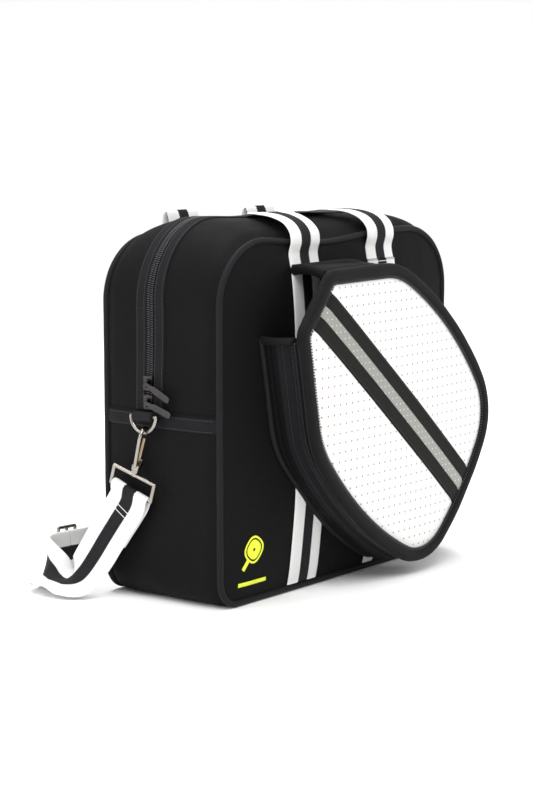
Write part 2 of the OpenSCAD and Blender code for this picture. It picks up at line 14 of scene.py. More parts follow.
import bpy
import numpy as np
from mathutils import Matrix, Vector

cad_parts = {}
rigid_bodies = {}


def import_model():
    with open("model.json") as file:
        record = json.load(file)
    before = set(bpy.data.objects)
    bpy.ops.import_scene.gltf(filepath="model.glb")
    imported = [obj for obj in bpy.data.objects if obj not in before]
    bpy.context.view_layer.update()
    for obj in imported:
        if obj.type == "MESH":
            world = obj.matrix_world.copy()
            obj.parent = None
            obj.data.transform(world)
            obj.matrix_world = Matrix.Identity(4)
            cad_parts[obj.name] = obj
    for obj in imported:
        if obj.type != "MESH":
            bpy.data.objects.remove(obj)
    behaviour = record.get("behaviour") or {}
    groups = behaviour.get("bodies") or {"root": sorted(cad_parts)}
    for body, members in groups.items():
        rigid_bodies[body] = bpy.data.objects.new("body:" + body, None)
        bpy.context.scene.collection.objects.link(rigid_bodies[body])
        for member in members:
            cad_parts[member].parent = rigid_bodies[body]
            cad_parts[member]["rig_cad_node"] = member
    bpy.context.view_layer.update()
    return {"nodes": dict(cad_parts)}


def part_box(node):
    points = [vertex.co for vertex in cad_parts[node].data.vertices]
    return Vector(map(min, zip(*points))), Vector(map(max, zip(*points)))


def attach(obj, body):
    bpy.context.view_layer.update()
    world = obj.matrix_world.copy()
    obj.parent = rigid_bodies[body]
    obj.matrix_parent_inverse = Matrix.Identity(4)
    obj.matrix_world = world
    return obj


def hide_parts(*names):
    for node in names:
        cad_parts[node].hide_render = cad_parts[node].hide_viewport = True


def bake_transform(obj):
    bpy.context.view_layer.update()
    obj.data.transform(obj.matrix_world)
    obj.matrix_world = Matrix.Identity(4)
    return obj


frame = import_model()

Array = np.ndarray
Piece = bpy.types.Object
MM = 0.001
log = logging.getLogger("tote")


# ---- Meshes ----


def cad_box(node: str) -> tuple[Array, Array]:
    """Lowest and highest corner of a CAD node.

    Args:
        node: Name of the CAD node.

    Returns:
        Two points, in millimetres.
    """
    low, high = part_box(node)
    return np.array(low) / MM, np.array(high) / MM


def unit(v: Array) -> Array:
    """Scales each vector of an array to length one."""
    return v / np.maximum(np.linalg.norm(v, axis=-1, keepdims=True), 1e-9)


def new_piece(name: str, points: Array, faces: list, uv: Array | None = None, smooth: bool = True) -> Piece:
    """Makes an object from points and faces.

    Args:
        name: Name of the piece.
        points: Corner points, in millimetres, one row each.
        faces: Lists of corner numbers.
        uv: Place on the cloth of every face corner, in millimetres, in the order of the faces.
        smooth: Whether the faces are shaded smooth.

    Returns:
        The new object, with its place in its mesh.
    """
    mesh = bpy.data.meshes.new(name)
    mesh.from_pydata((points * MM).tolist(), [], faces)
    if uv is not None:
        layer = mesh.uv_layers.new(name="cloth")
        layer.data.foreach_set("uv", np.asarray(uv, np.float32).ravel())
    mesh.polygons.foreach_set("use_smooth", np.full(len(mesh.polygons), smooth))
    mesh.update()
    piece = bpy.data.objects.new(name, mesh)
    bpy.context.scene.collection.objects.link(piece)
    return piece


def grid_faces(rows: int, columns: int, wrap_rows: bool = False, wrap_columns: bool = False) -> Array:
    """Four corner numbers for each cell of a grid of points, row by row.

    Args:
        rows: Number of rows of points.
        columns: Number of points in each row.
        wrap_rows: Whether the last row joins the first.
        wrap_columns: Whether the last point of a row joins its first.

    Returns:
        An array with one row of four numbers for each face.
    """
    i = np.arange(rows if wrap_rows else rows - 1)[:, None]
    j = np.arange(columns if wrap_columns else columns - 1)[None, :]
    i2 = (i + 1) % rows
    j2 = (j + 1) % columns
    corners = [i * columns + j, i * columns + j2, i2 * columns + j2, i2 * columns + j]
    return np.stack([np.broadcast_to(c, (i.size, j.size)) for c in corners], -1).reshape(-1, 4)


def grid_uv(u: Array, v: Array) -> Array:
    """Cloth places of the face corners of a grid whose rows have places u and whose columns have places v.

    Args:
        u: Place along the cloth of each row, with one more value than rows where the rows wrap.
        v: Place across the cloth of each column, with one more value where the columns wrap.

    Returns:
        One pair for each face corner, in the order that grid_faces gives.
    """
    a, b = np.meshgrid(u, v, indexing="ij")
    place = np.stack([a, b], -1)
    corners = [place[:-1, :-1], place[:-1, 1:], place[1:, 1:], place[1:, :-1]]
    return np.stack(corners, 2).reshape(-1, 2)


def sheet_piece(name: str, p: Array, outward: Array, u: Array, v: Array, wrap: bool = False) -> Piece:
    """An open surface on a grid of points, its faces turned to the given side.

    Args:
        name: Name of the piece.
        p: Grid of points, rows by columns by 3.
        outward: Direction that the surface faces, for each point or for all of them.
        u: Place along the cloth of each row.
        v: Place across the cloth of each column.
        wrap: Whether the last row joins the first.

    Returns:
        The new object.
    """
    rows, columns = p.shape[:2]
    faces = grid_faces(rows, columns, wrap_rows=wrap)
    uv = grid_uv(u, v)
    flat = p.reshape(-1, 3)
    normal = np.cross(flat[faces[:, 2]] - flat[faces[:, 0]], flat[faces[:, 3]] - flat[faces[:, 1]])
    facing = np.broadcast_to(outward, p.shape).reshape(-1, 3)[faces[:, 0]]
    if (normal * facing).sum() < 0:
        faces = faces[:, ::-1]
        uv = uv.reshape(-1, 4, 2)[:, ::-1].reshape(-1, 2)
    return new_piece(name, flat, faces.tolist(), uv)


def disc_piece(name: str, rings: Array, outward: Array) -> Piece:
    """A surface of rings round one middle point, closed at that point.

    Args:
        name: Name of the piece.
        rings: Rings by points by 3. The first ring holds the middle point only, repeated.
        outward: Direction that the surface faces.

    Returns:
        The new object.
    """
    count = rings.shape[1]
    flat = np.concatenate([rings[0, :1], rings[1:].reshape(-1, 3)])
    j = np.arange(count)
    fan = np.stack([np.zeros(count, int), 1 + j, 1 + (j + 1) % count], -1)
    quads = grid_faces(len(rings) - 1, count, wrap_columns=True) + 1
    a, b, c = flat[fan[0]]
    if np.dot(np.cross(b - a, c - a), outward) < 0:
        fan = fan[:, ::-1]
    a, b, c, d = flat[quads[0]]
    if np.dot(np.cross(c - a, d - b), outward) < 0:
        quads = quads[:, ::-1]
    uv = np.concatenate([flat[fan.ravel()], flat[quads.ravel()]])[:, [0, 2]]
    return new_piece(name, flat, fan.tolist() + quads.tolist(), uv)


def turned_outwards(points: Array, faces: list, uv: Array | None) -> tuple[list, Array | None]:
    """Reverses the faces of a closed mesh whose enclosed volume comes out negative.

    Args:
        points: Corner points.
        faces: Lists of corner numbers.
        uv: Cloth places of the face corners.

    Returns:
        The faces and the places, in their right order.
    """
    quads = np.array([f for f in faces if len(f) == 4])
    a, b, c, d = (points[quads[:, k]] for k in range(4))
    volume = (a * (np.cross(b, c) + np.cross(c, d))).sum()
    if volume >= 0:
        return faces, uv
    if uv is not None:
        ends = np.cumsum([len(f) for f in faces])[:-1]
        uv = np.concatenate([part[::-1] for part in np.split(uv, ends)])
    return [f[::-1] for f in faces], uv


def carried(
    name: str, path: Array, side: Array, up: Array, profile: Array, closed: bool = False,
    v: Array | None = None,
) -> Piece:
    """A closed profile carried along a path: point = path + side times profile x + up times profile y.

    Args:
        name: Name of the piece.
        path: Points of the path, n by 3.
        side: Direction of the profile's x at each point.
        up: Direction of the profile's y at each point.
        profile: Points of the profile, m by 2, or n by m by 2 where it changes along the path.
        closed: Whether the path closes on itself.
        v: Place across the cloth of each profile point; the profile's own length round it otherwise.

    Returns:
        The new object.
    """
    n = len(path)
    shape = np.broadcast_to(profile, (n, *np.shape(profile)[-2:]))
    m = shape.shape[1]
    p = path[:, None] + side[:, None] * shape[..., :1] + up[:, None] * shape[..., 1:]
    steps = np.linalg.norm(np.diff(np.concatenate([path, path[:1]]), axis=0), axis=1)
    u = np.concatenate([[0], np.cumsum(steps)])[: n + 1 if closed else n]
    around = np.linalg.norm(np.diff(np.concatenate([shape[0], shape[0, :1]]), axis=0), axis=1)
    v = np.concatenate([[0], np.cumsum(around)]) if v is None else np.append(v, v[0])
    faces = grid_faces(n, m, wrap_rows=closed, wrap_columns=True).tolist()
    uv = grid_uv(u, v)
    if not closed:
        first = list(range(m))[::-1]
        last = list(range((n - 1) * m, n * m))
        faces += [first, last]
        ends = [np.stack([np.zeros(m), v[:m][::-1]], -1), np.stack([np.full(m, u[-1]), v[:m]], -1)]
        uv = np.concatenate([uv, *ends])
    flat = p.reshape(-1, 3)
    faces, uv = turned_outwards(flat, faces, uv)
    return new_piece(name, flat, faces, uv)


def round_profile(radius: float, count: int = 12, flat: float = 1.0) -> Array:
    """Points of a circle, or of an ellipse whose height is flat times its width."""
    a = np.linspace(0, 2 * math.pi, count, endpoint=False)
    return np.stack([radius * np.cos(a), radius * flat * np.sin(a)], -1)


def band_profile(width: float, thick: float, count: int = 13) -> tuple[Array, Array]:
    """Outline of a flat band with softly rounded edges, and the place across the cloth of each of its points.

    The upper line is thick/2 times (1 - |x|^12)^(1/2), where x goes from -1 to 1, and the lower line
    mirrors it.

    Args:
        width: Width of the band.
        thick: Thickness of the band.
        count: Points across the band.

    Returns:
        The points, and their places across.
    """
    x = np.sin(np.linspace(-math.pi / 2, math.pi / 2, count)) * 0.55 + np.linspace(-1, 1, count) * 0.45
    h = thick / 2 * np.sqrt(np.clip(1 - np.abs(x) ** 12, 0.02, 1))
    upper = np.stack([x * width / 2, h], -1)
    lower = upper[::-1] * [1, -1]
    points = np.concatenate([upper, lower])
    return points, points[:, 0]


class Repeated(Enum):
    """Small shapes that are repeated along a line: how full each of their four rings is."""

    STITCH = (0.35, 1.0, 1.0, 0.35)
    TOOTH = (0.8, 1.0, 1.0, 0.8)


def repeated(
    name: str, at: Array, along: Array, side: Array, up: Array, size: tuple, kind: Repeated
) -> Piece:
    """One mesh of many small rounded bars: four rings of six points each, with a flat cap at both ends.

    Args:
        name: Name of the piece.
        at: Middle of each bar, n by 3.
        along: Direction of each bar's length.
        side: Direction of its width.
        up: Direction of its height.
        size: Length, width and height of a bar.
        kind: Which bar.

    Returns:
        The new object.
    """
    x = np.array([-0.5, -0.36, 0.36, 0.5])
    a = np.linspace(0, 2 * math.pi, 6, endpoint=False)
    full = np.array(kind.value)[:, None]
    template = np.stack([
        np.repeat(x[:, None], 6, 1) * size[0],
        full * np.cos(a) * size[1] / 2,
        full * np.sin(a) * size[2] / 2,
    ], -1).reshape(-1, 3)
    quads = grid_faces(4, 6, wrap_columns=True)
    caps = np.array([[0, 1, 2, 3], [0, 3, 4, 5], [21, 20, 19, 18], [23, 22, 21, 18]])
    faces = np.concatenate([quads, caps])
    corners = template[faces]
    volume = (corners[:, 0] * np.cross(corners[:, 1], corners[:, 2])).sum()
    if volume < 0:
        faces = faces[:, ::-1]
    axes = np.stack(np.broadcast_arrays(along, side, up), 1)
    if np.linalg.det(axes[0]) < 0:
        faces = faces[:, ::-1]
    p = at[:, None] + np.einsum("tk,nkc->ntc", template, axes)
    every = (faces[None] + 24 * np.arange(len(at))[:, None, None]).reshape(-1, 4)
    return new_piece(name, p.reshape(-1, 3), every.tolist())


def evenly(path: Array, pitch: float, extra: Array, trim: float = 0.0) -> tuple[Array, Array, Array]:
    """Points at an even pitch along a path.

    Args:
        path: Points of the path.
        pitch: Distance between two points.
        extra: A direction given at each point of the path.
        trim: Length left out at both ends.

    Returns:
        The points, the direction of the path and the extra direction at each of them.
    """
    s = np.concatenate([[0], np.cumsum(np.linalg.norm(np.diff(path, axis=0), axis=1))])
    at = np.arange(trim + pitch / 2, s[-1] - trim, pitch)
    point = np.stack([np.interp(at, s, path[:, k]) for k in range(3)], -1)
    ahead = np.stack([np.interp(at + 0.3, s, path[:, k]) for k in range(3)], -1)
    behind = np.stack([np.interp(at - 0.3, s, path[:, k]) for k in range(3)], -1)
    other = np.stack([np.interp(at, s, extra[:, k]) for k in range(3)], -1)
    return point, unit(ahead - behind), unit(other)


def stitch_row(name: str, path: Array, up: Array, pitch: float = 3.2, thread: float = 0.55) -> Piece:
    """A row of stitches lying on a surface along a path.

    Args:
        name: Name of the piece.
        path: Points of the row.
        up: Direction out of the surface at each point.
        pitch: Distance between two stitches.
        thread: Width of the thread.

    Returns:
        The new object.
    """
    at, along, out = evenly(path, pitch, up)
    side = unit(np.cross(out, along))
    return repeated(name, at, along, side, out, (pitch * 0.78, thread, thread * 0.8), Repeated.STITCH)


def thickened(piece: Piece, thick: float) -> Piece:
    """Gives a surface a thickness, inwards from its faces."""
    wall = piece.modifiers.new("wall", "SOLIDIFY")
    wall.thickness = thick * MM
    wall.offset = -1
    wall.use_even_offset = True
    return piece


def smooth_path(route: Array, steps: int) -> Array:
    """Points of a smooth curve through a route: each is the mean of two parabolas through three points each.

    Args:
        route: Points of the route, n by 3.
        steps: Points between each two of them.

    Returns:
        The points of the curve.
    """
    p = np.concatenate([route[:1], route, route[-1:]])
    t = np.linspace(0, 1, steps, endpoint=False)[None, :, None]
    p0, p1, p2, p3 = (p[k: len(p) - 3 + k][:, None] for k in range(4))
    curve = 0.5 * (
        2 * p1 + (p2 - p0) * t + (2 * p0 - 5 * p1 + 4 * p2 - p3) * t ** 2
        + (3 * p1 - p0 - 3 * p2 + p3) * t ** 3
    )
    return np.concatenate([curve.reshape(-1, 3), route[-1:]])


@dataclass(frozen=True)
class Arc:
    """A round stretch of an outline, between two angles in degrees, counterclockwise."""

    x: float
    z: float
    radius: float
    start: float
    end: float


class Outline:
    """A line of arcs and of the straight lines between them, in a plane."""

    def __init__(self, arcs: list[Arc], closed: bool = True) -> None:
        """Lays the arcs out one after another.

        Args:
            arcs: The round stretches, in order, each starting at the angle where the one before ended.
            closed: Whether the line comes back to its start.
        """
        points, angles = [], []
        for arc in arcs:
            a = np.radians(np.linspace(arc.start, arc.end, 60))
            points.append(np.stack([arc.x + arc.radius * np.cos(a), arc.z + arc.radius * np.sin(a)], -1))
            angles.append(a)
        if closed:
            points.append(points[0][:1])
            angles.append(angles[0][:1] + 2 * math.pi)
        self.points = np.concatenate(points)
        self.angles = np.concatenate(angles)
        steps = np.linalg.norm(np.diff(self.points, axis=0), axis=1)
        self.places = np.concatenate([[0], np.cumsum(steps)])
        self.length = float(self.places[-1])

    def at(self, s: Array) -> tuple[Array, Array]:
        """Points and outward normals at distances s along the line."""
        s = np.mod(s, self.length)
        point = np.stack([np.interp(s, self.places, self.points[:, k]) for k in range(2)], -1)
        angle = np.interp(s, self.places, self.angles)
        return point, np.stack([np.cos(angle), np.sin(angle)], -1)


def ease(a: float, b: float, x: Array) -> Array:
    """Goes smoothly from 0 at a to 1 at b: 3t^2 - 2t^3."""
    t = np.clip((x - a) / (b - a), 0, 1)
    return t * t * (3 - 2 * t)


# ---- Finishes ----


class Nodes:
    """A material's node tree, with short calls for the nodes that the finishes use."""

    def __init__(self, name: str) -> None:
        """Makes the material and its shader."""
        self.material = bpy.data.materials.new(name)
        self.material.use_nodes = True
        self.tree = self.material.node_tree
        self.tree.nodes.clear()
        self.shader = self.add("ShaderNodeBsdfPrincipled")
        output = self.add("ShaderNodeOutputMaterial")
        self.link(self.shader.outputs[0], output.inputs[0])

    def add(self, kind: str) -> bpy.types.Node:
        """Adds one node."""
        return self.tree.nodes.new(kind)

    def link(self, source: bpy.types.NodeSocket, target: bpy.types.NodeSocket) -> None:
        """Joins two sockets."""
        self.tree.links.new(source, target)

    def feed(self, target: bpy.types.NodeSocket, value: object) -> None:
        """Links a socket to a target, or sets the target's own value."""
        if isinstance(value, bpy.types.NodeSocket):
            self.link(value, target)
        else:
            target.default_value = value

    def set(self, **values: object) -> None:
        """Sets the shader's own sockets: base_color sets Base Color, and so on."""
        for name, value in values.items():
            self.feed(self.shader.inputs[name.replace("_", " ").title().replace("Ior", "IOR")], value)

    def place(self, source: str) -> bpy.types.NodeSocket:
        """Place on the piece in millimetres: source is Object, or UV for the piece's own cloth map."""
        scale = self.add("ShaderNodeVectorMath")
        scale.operation = "SCALE"
        if source == "UV":
            uv = self.add("ShaderNodeUVMap")
            uv.uv_map = "cloth"
            self.link(uv.outputs[0], scale.inputs[0])
            scale.inputs["Scale"].default_value = 1.0
        else:
            self.link(self.add("ShaderNodeTexCoord").outputs[source], scale.inputs[0])
            scale.inputs["Scale"].default_value = 1 / MM
        return scale.outputs[0]

    def parts(self, place: bpy.types.NodeSocket) -> list[bpy.types.NodeSocket]:
        """The x, y and z of a place."""
        split = self.add("ShaderNodeSeparateXYZ")
        self.link(place, split.inputs[0])
        return list(split.outputs)

    def math(self, operation: str, a: object, b: object = 0.0, c: object = 0.0) -> bpy.types.NodeSocket:
        """One step of arithmetic on numbers or sockets."""
        node = self.add("ShaderNodeMath")
        node.operation = operation
        for target, value in zip(node.inputs, (a, b, c)):
            self.feed(target, value)
        return node.outputs[0]

    def noise(self, place: bpy.types.NodeSocket, size: float, detail: float = 2.0) -> bpy.types.NodeSocket:
        """Cloudy noise whose clouds are size millimetres across."""
        node = self.add("ShaderNodeTexNoise")
        self.link(place, node.inputs["Vector"])
        node.inputs["Scale"].default_value = 1 / size
        node.inputs["Detail"].default_value = detail
        return node.outputs["Fac"]

    def mix(self, share: object, a: tuple, b: tuple) -> bpy.types.NodeSocket:
        """A colour between a at share 0 and b at share 1."""
        node = self.add("ShaderNodeMix")
        node.data_type = "RGBA"
        self.feed(node.inputs["Factor"], share)
        for target, value in ((node.inputs[6], a), (node.inputs[7], b)):
            self.feed(target, value if isinstance(value, bpy.types.NodeSocket) else (*value, 1.0))
        return node.outputs[2]

    def relief(self, height: bpy.types.NodeSocket, depth: float, strength: float = 1.0) -> None:
        """Bump of a depth in millimetres on top of what is there already."""
        node = self.add("ShaderNodeBump")
        node.inputs["Distance"].default_value = depth * MM
        node.inputs["Strength"].default_value = strength
        self.link(height, node.inputs["Height"])
        links = self.shader.inputs["Normal"].links
        if links:
            self.link(links[0].from_socket, node.inputs["Normal"])
        self.link(node.outputs[0], self.shader.inputs["Normal"])

    def ridges(self, along: object, pitch: float) -> bpy.types.NodeSocket:
        """A wave from 0 to 1 that repeats every pitch millimetres."""
        turn = self.math("MULTIPLY", along, 2 * math.pi / pitch)
        return self.math("MULTIPLY_ADD", self.math("SINE", turn), 0.5, 0.5)


@dataclass(frozen=True)
class Knit:
    """Smooth jersey faced foam: fine loops, a soft bloom and slow changes of tone."""

    name: str
    colour: tuple
    loop: float = 0.55
    rough: float = 0.62
    bloom: float = 0.01
    grain: float = 0.16

    def make(self) -> bpy.types.Material:
        """Builds the material."""
        n = Nodes(self.name)
        place = n.place("Object")
        x, y, z = n.parts(place)
        dark = tuple(0.85 * c for c in self.colour)
        light = tuple(1.2 * c for c in self.colour)
        tone = n.math("MULTIPLY_ADD", n.noise(place, 34, 3), 0.7, n.math("MULTIPLY", n.noise(place, 0.8), 0.45))
        n.set(base_color=n.mix(n.math("SUBTRACT", tone, 0.08), dark, light))
        n.set(roughness=n.math("MULTIPLY_ADD", n.noise(place, 9), 0.12, self.rough - 0.06))
        n.set(sheen_weight=self.bloom, sheen_roughness=0.45, specular_ior_level=0.05)
        across = n.math("ADD", x, y)
        loops = n.math("MULTIPLY", n.ridges(across, self.loop), n.ridges(z, self.loop * 0.8))
        n.relief(n.noise(place, 16, 3), 1.6, 0.35)
        n.relief(loops, self.grain, 0.45)
        return n.material


@dataclass(frozen=True)
class Twill:
    """Woven tape: slanting ribs across the cloth, with painted highlights in speckles on the raised threads."""

    name: str
    colour: tuple
    rib: float = 1.1
    source: str = "UV"
    rib_highlight_gain: float = 1.9
    rough: float = 0.7

    def make(self) -> bpy.types.Material:
        """Builds the material."""
        n = Nodes(self.name)
        place = n.place(self.source)
        u, v, w = n.parts(place)
        if self.source == "Object":
            u = n.math("ADD", u, n.math("MULTIPLY", v, 0.6))
            v = w
        zig = n.math("PINGPONG", v, 2.4)
        ribs = n.ridges(n.math("ADD", u, zig), self.rib)
        threads = n.math("MULTIPLY", ribs, n.ridges(v, 0.6))
        # Painted highlight: the raised ribs are lightened in speckles, as if they caught the light.
        rib_highlight_speckles = n.math("MULTIPLY", n.noise(place, 0.7, 1), ribs)
        light = tuple(self.rib_highlight_gain * c for c in self.colour)
        slow = n.math("MULTIPLY", n.noise(n.place("Object"), 14), 0.25)
        tone = n.math("MULTIPLY_ADD", rib_highlight_speckles, 1.1, slow)
        n.set(base_color=n.mix(tone, tuple(0.6 * c for c in self.colour), light))
        n.set(roughness=n.math("MULTIPLY_ADD", ribs, -0.12, self.rough + 0.05))
        n.set(sheen_weight=0.01, sheen_roughness=0.5, specular_ior_level=0.08)
        n.relief(threads, 0.35, 0.6)
        return n.material


@dataclass(frozen=True)
class StripedWebbing:
    """Heavy webbing with a dark stripe between two light ones, whose border steps with the weave."""

    name: str = "striped_webbing"
    light: tuple = (0.76, 0.76, 0.75)
    dark: tuple = (0.009, 0.009, 0.010)
    stripe: float = 12.2
    rib: float = 1.05

    def make(self) -> bpy.types.Material:
        """Builds the material."""
        n = Nodes(self.name)
        place = n.place("UV")
        u, v, _ = n.parts(place)
        off = n.math("ABSOLUTE", v)
        step = n.math("MULTIPLY", n.math("GREATER_THAN", n.ridges(u, 2 * self.rib), 0.5), 0.55)
        inside = n.math("LESS_THAN", off, n.math("ADD", self.stripe / 2 - 0.28, step))
        ribs = n.ridges(n.math("ADD", u, n.math("PINGPONG", v, 1.6)), self.rib)
        # Painted highlight: the dark stripe's raised ribs are lightened in speckles, up to 2.6 times its colour,
        # as if they caught the light.
        dark_rib_glints = n.math("MULTIPLY", n.noise(n.place("Object"), 1.1, 3), ribs)
        dark = n.mix(dark_rib_glints, self.dark, tuple(2.6 * c for c in self.dark))
        shade = n.math("MULTIPLY", ribs, n.noise(n.place("Object"), 6))
        light = n.mix(shade, tuple(0.93 * c for c in self.light), self.light)
        n.set(base_color=n.mix(inside, light, dark))
        n.set(roughness=n.math("MULTIPLY_ADD", ribs, -0.14, 0.72))
        n.set(sheen_weight=0.01, sheen_roughness=0.4, specular_ior_level=0.08)
        n.relief(n.math("MULTIPLY", ribs, n.ridges(v, 0.8)), 0.4, 0.55)
        return n.material


@dataclass(frozen=True)
class Perforated:
    """Smooth coated cloth with a square grid of small punched holes."""

    name: str
    colour: tuple
    hole: tuple
    grid: float = 7.6
    radius: float = 0.55
    rough: float = 0.42
    metal: float = 0.0
    pebble: float = 0.12

    def make(self) -> bpy.types.Material:
        """Builds the material."""
        n = Nodes(self.name)
        place = n.place("Object")
        x, _, z = n.parts(place)
        cx = n.math("SUBTRACT", n.math("MODULO", n.math("ADD", x, 760.0), self.grid), self.grid / 2)
        cz = n.math("SUBTRACT", n.math("MODULO", n.math("ADD", z, 76.0), self.grid), self.grid / 2)
        reach = n.math("SQRT", n.math("ADD", n.math("MULTIPLY", cx, cx), n.math("MULTIPLY", cz, cz)))
        edge = n.math("SUBTRACT", reach, self.radius)
        hole = n.math("SUBTRACT", 1.0, n.math("MULTIPLY_ADD", edge, 3.4, 0.5))
        hole = n.math("MINIMUM", n.math("MAXIMUM", hole, 0.0), 1.0)
        grain = n.noise(place, 1.6, 4)
        body = n.mix(grain, tuple(0.96 * c for c in self.colour), self.colour)
        # Inside each hole the colour turns to the hole colour; on the white face that is a brown darkened with
        # painted shade of the hole's inside.
        n.set(base_color=n.mix(hole, body, self.hole))
        n.set(roughness=n.math("MULTIPLY_ADD", grain, 0.14, self.rough), metallic=self.metal)
        n.relief(n.noise(place, 1.2, 3), self.pebble, 0.35)
        n.relief(n.math("SUBTRACT", 1.0, hole), 0.4, 0.7)
        return n.material


@dataclass(frozen=True)
class Metal:
    """Plated metal: bright, faintly brushed and a little uneven."""

    name: str
    colour: tuple
    rough: float = 0.2

    def make(self) -> bpy.types.Material:
        """Builds the material."""
        n = Nodes(self.name)
        place = n.place("Object")
        tone = n.noise(place, 5, 3)
        dark, light = (tuple(k * c for c in self.colour) for k in (0.7, 1.25))
        n.set(base_color=n.mix(tone, dark, light))
        n.set(roughness=n.math("MULTIPLY_ADD", n.noise(place, 1.2, 4), 0.14, self.rough - 0.05), metallic=1.0)
        n.relief(n.noise(place, 0.5), 0.05, 0.25)
        return n.material


@dataclass(frozen=True)
class Moulded:
    """Moulded or printed plastic: plain, with a fine uneven surface."""

    name: str
    colour: tuple
    rough: float = 0.4
    grain: float = 0.5

    def make(self) -> bpy.types.Material:
        """Builds the material."""
        n = Nodes(self.name)
        place = n.place("Object")
        tone = n.noise(place, self.grain * 3, 3)
        light = tuple(min(1.0, 1.15 * c) for c in self.colour)
        n.set(base_color=n.mix(tone, tuple(0.82 * c for c in self.colour), light))
        n.set(roughness=n.math("MULTIPLY_ADD", tone, 0.15, self.rough))
        n.relief(n.noise(place, self.grain), 0.08, 0.4)
        return n.material


class Finish(Enum):
    """The finishes of the tote, each with the material slot of the record that it belongs to."""

    NEOPRENE = (Knit("neoprene", (0.0048, 0.0048, 0.0052)), "neoprene")
    LINING = (Knit("lining", (0.014, 0.014, 0.015)), "neoprene")
    PIPING = (Knit("piping", (0.011, 0.0115, 0.0125), rough=0.45, bloom=0.02), "piping")
    BINDING = (Twill("binding", (0.0062, 0.0062, 0.0068), rib=1.3, rough=0.66), "binding")
    TAPE = (Twill("tape", (0.0068, 0.0068, 0.008), rib=1.0, rib_highlight_gain=2.4), "tape")
    TAB = (Twill("tab_webbing", (0.010, 0.010, 0.011), rib=1.2, source="Object"), "tape")
    TEETH = (Moulded("teeth", (0.014, 0.014, 0.016), rough=0.28, grain=0.6), "teeth")
    THREAD = (Moulded("thread", (0.012, 0.012, 0.013), rough=0.42, grain=0.3), "tape")
    WHITE_THREAD = (Moulded("white_thread", (0.8, 0.8, 0.78), rough=0.5, grain=0.3), "striped_webbing")
    SLIDER = (Metal("slider_metal", (0.055, 0.053, 0.052), rough=0.3), "slider_metal")
    GUNMETAL = (Metal("gunmetal", (0.30, 0.275, 0.245), rough=0.2), "gunmetal")
    BRASS_TINT = (Metal("gate_metal", (0.30, 0.24, 0.15), rough=0.2), "gunmetal")
    WEBBING = (StripedWebbing(), "striped_webbing")
    # The white face's holes are brown, darkened with painted shade of the holes' insides.
    WHITE = (Perforated("white_face", (0.66, 0.66, 0.655), (0.24, 0.10, 0.03), radius=0.72), "white_face")
    BLACK = (Twill("black_stripe", (0.0085, 0.008, 0.0075), rib=0.9, rib_highlight_gain=2.2, source="UV"), "black_stripe")
    SILVER = (
        Perforated(
            "silver_stripe", (0.25, 0.25, 0.228), (0.70, 0.70, 0.66),
            grid=5.4, radius=0.5, rough=0.34, metal=0.35,
        ),
        "silver_stripe",
    )
    BOARD = (Moulded("board", (0.06, 0.06, 0.06), rough=0.5, grain=1.5), "board")
    PRINT = (Moulded("print", (0.68, 0.76, 0.02), rough=0.5, grain=0.5), "print")


_made: dict[Finish, bpy.types.Material] = {}


def material_of(finish: Finish) -> bpy.types.Material:
    """The finish's material, made the first time it is asked for."""
    if finish not in _made:
        _made[finish] = finish.value[0].make()
    return _made[finish]


def dress(piece: Piece, finish: Finish, inner: Finish | None = None) -> Piece:
    """Gives a piece its finish.

    Args:
        piece: The piece or CAD node.
        finish: Its finish.
        inner: Finish of the wall's inner side, where that differs.

    Returns:
        The same piece.
    """
    piece.data.materials.clear()
    piece.data.materials.append(material_of(finish))
    if inner is not None:
        piece.data.materials.append(material_of(inner))
        piece.modifiers["wall"].material_offset = 1
        piece.modifiers["wall"].material_offset_rim = 1
    return piece


def settle(piece: Piece, finish: Finish, body: str, *nodes: str) -> Piece:
    """Dresses a piece, rides it on a body and lets it stand for CAD nodes."""
    dress(piece, finish)
    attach(piece, body)
    if nodes:
        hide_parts(*nodes)
    log.info("%s rides on %s", piece.name, body)
    return piece


# ---- The bag's shape, which everything on it follows ----


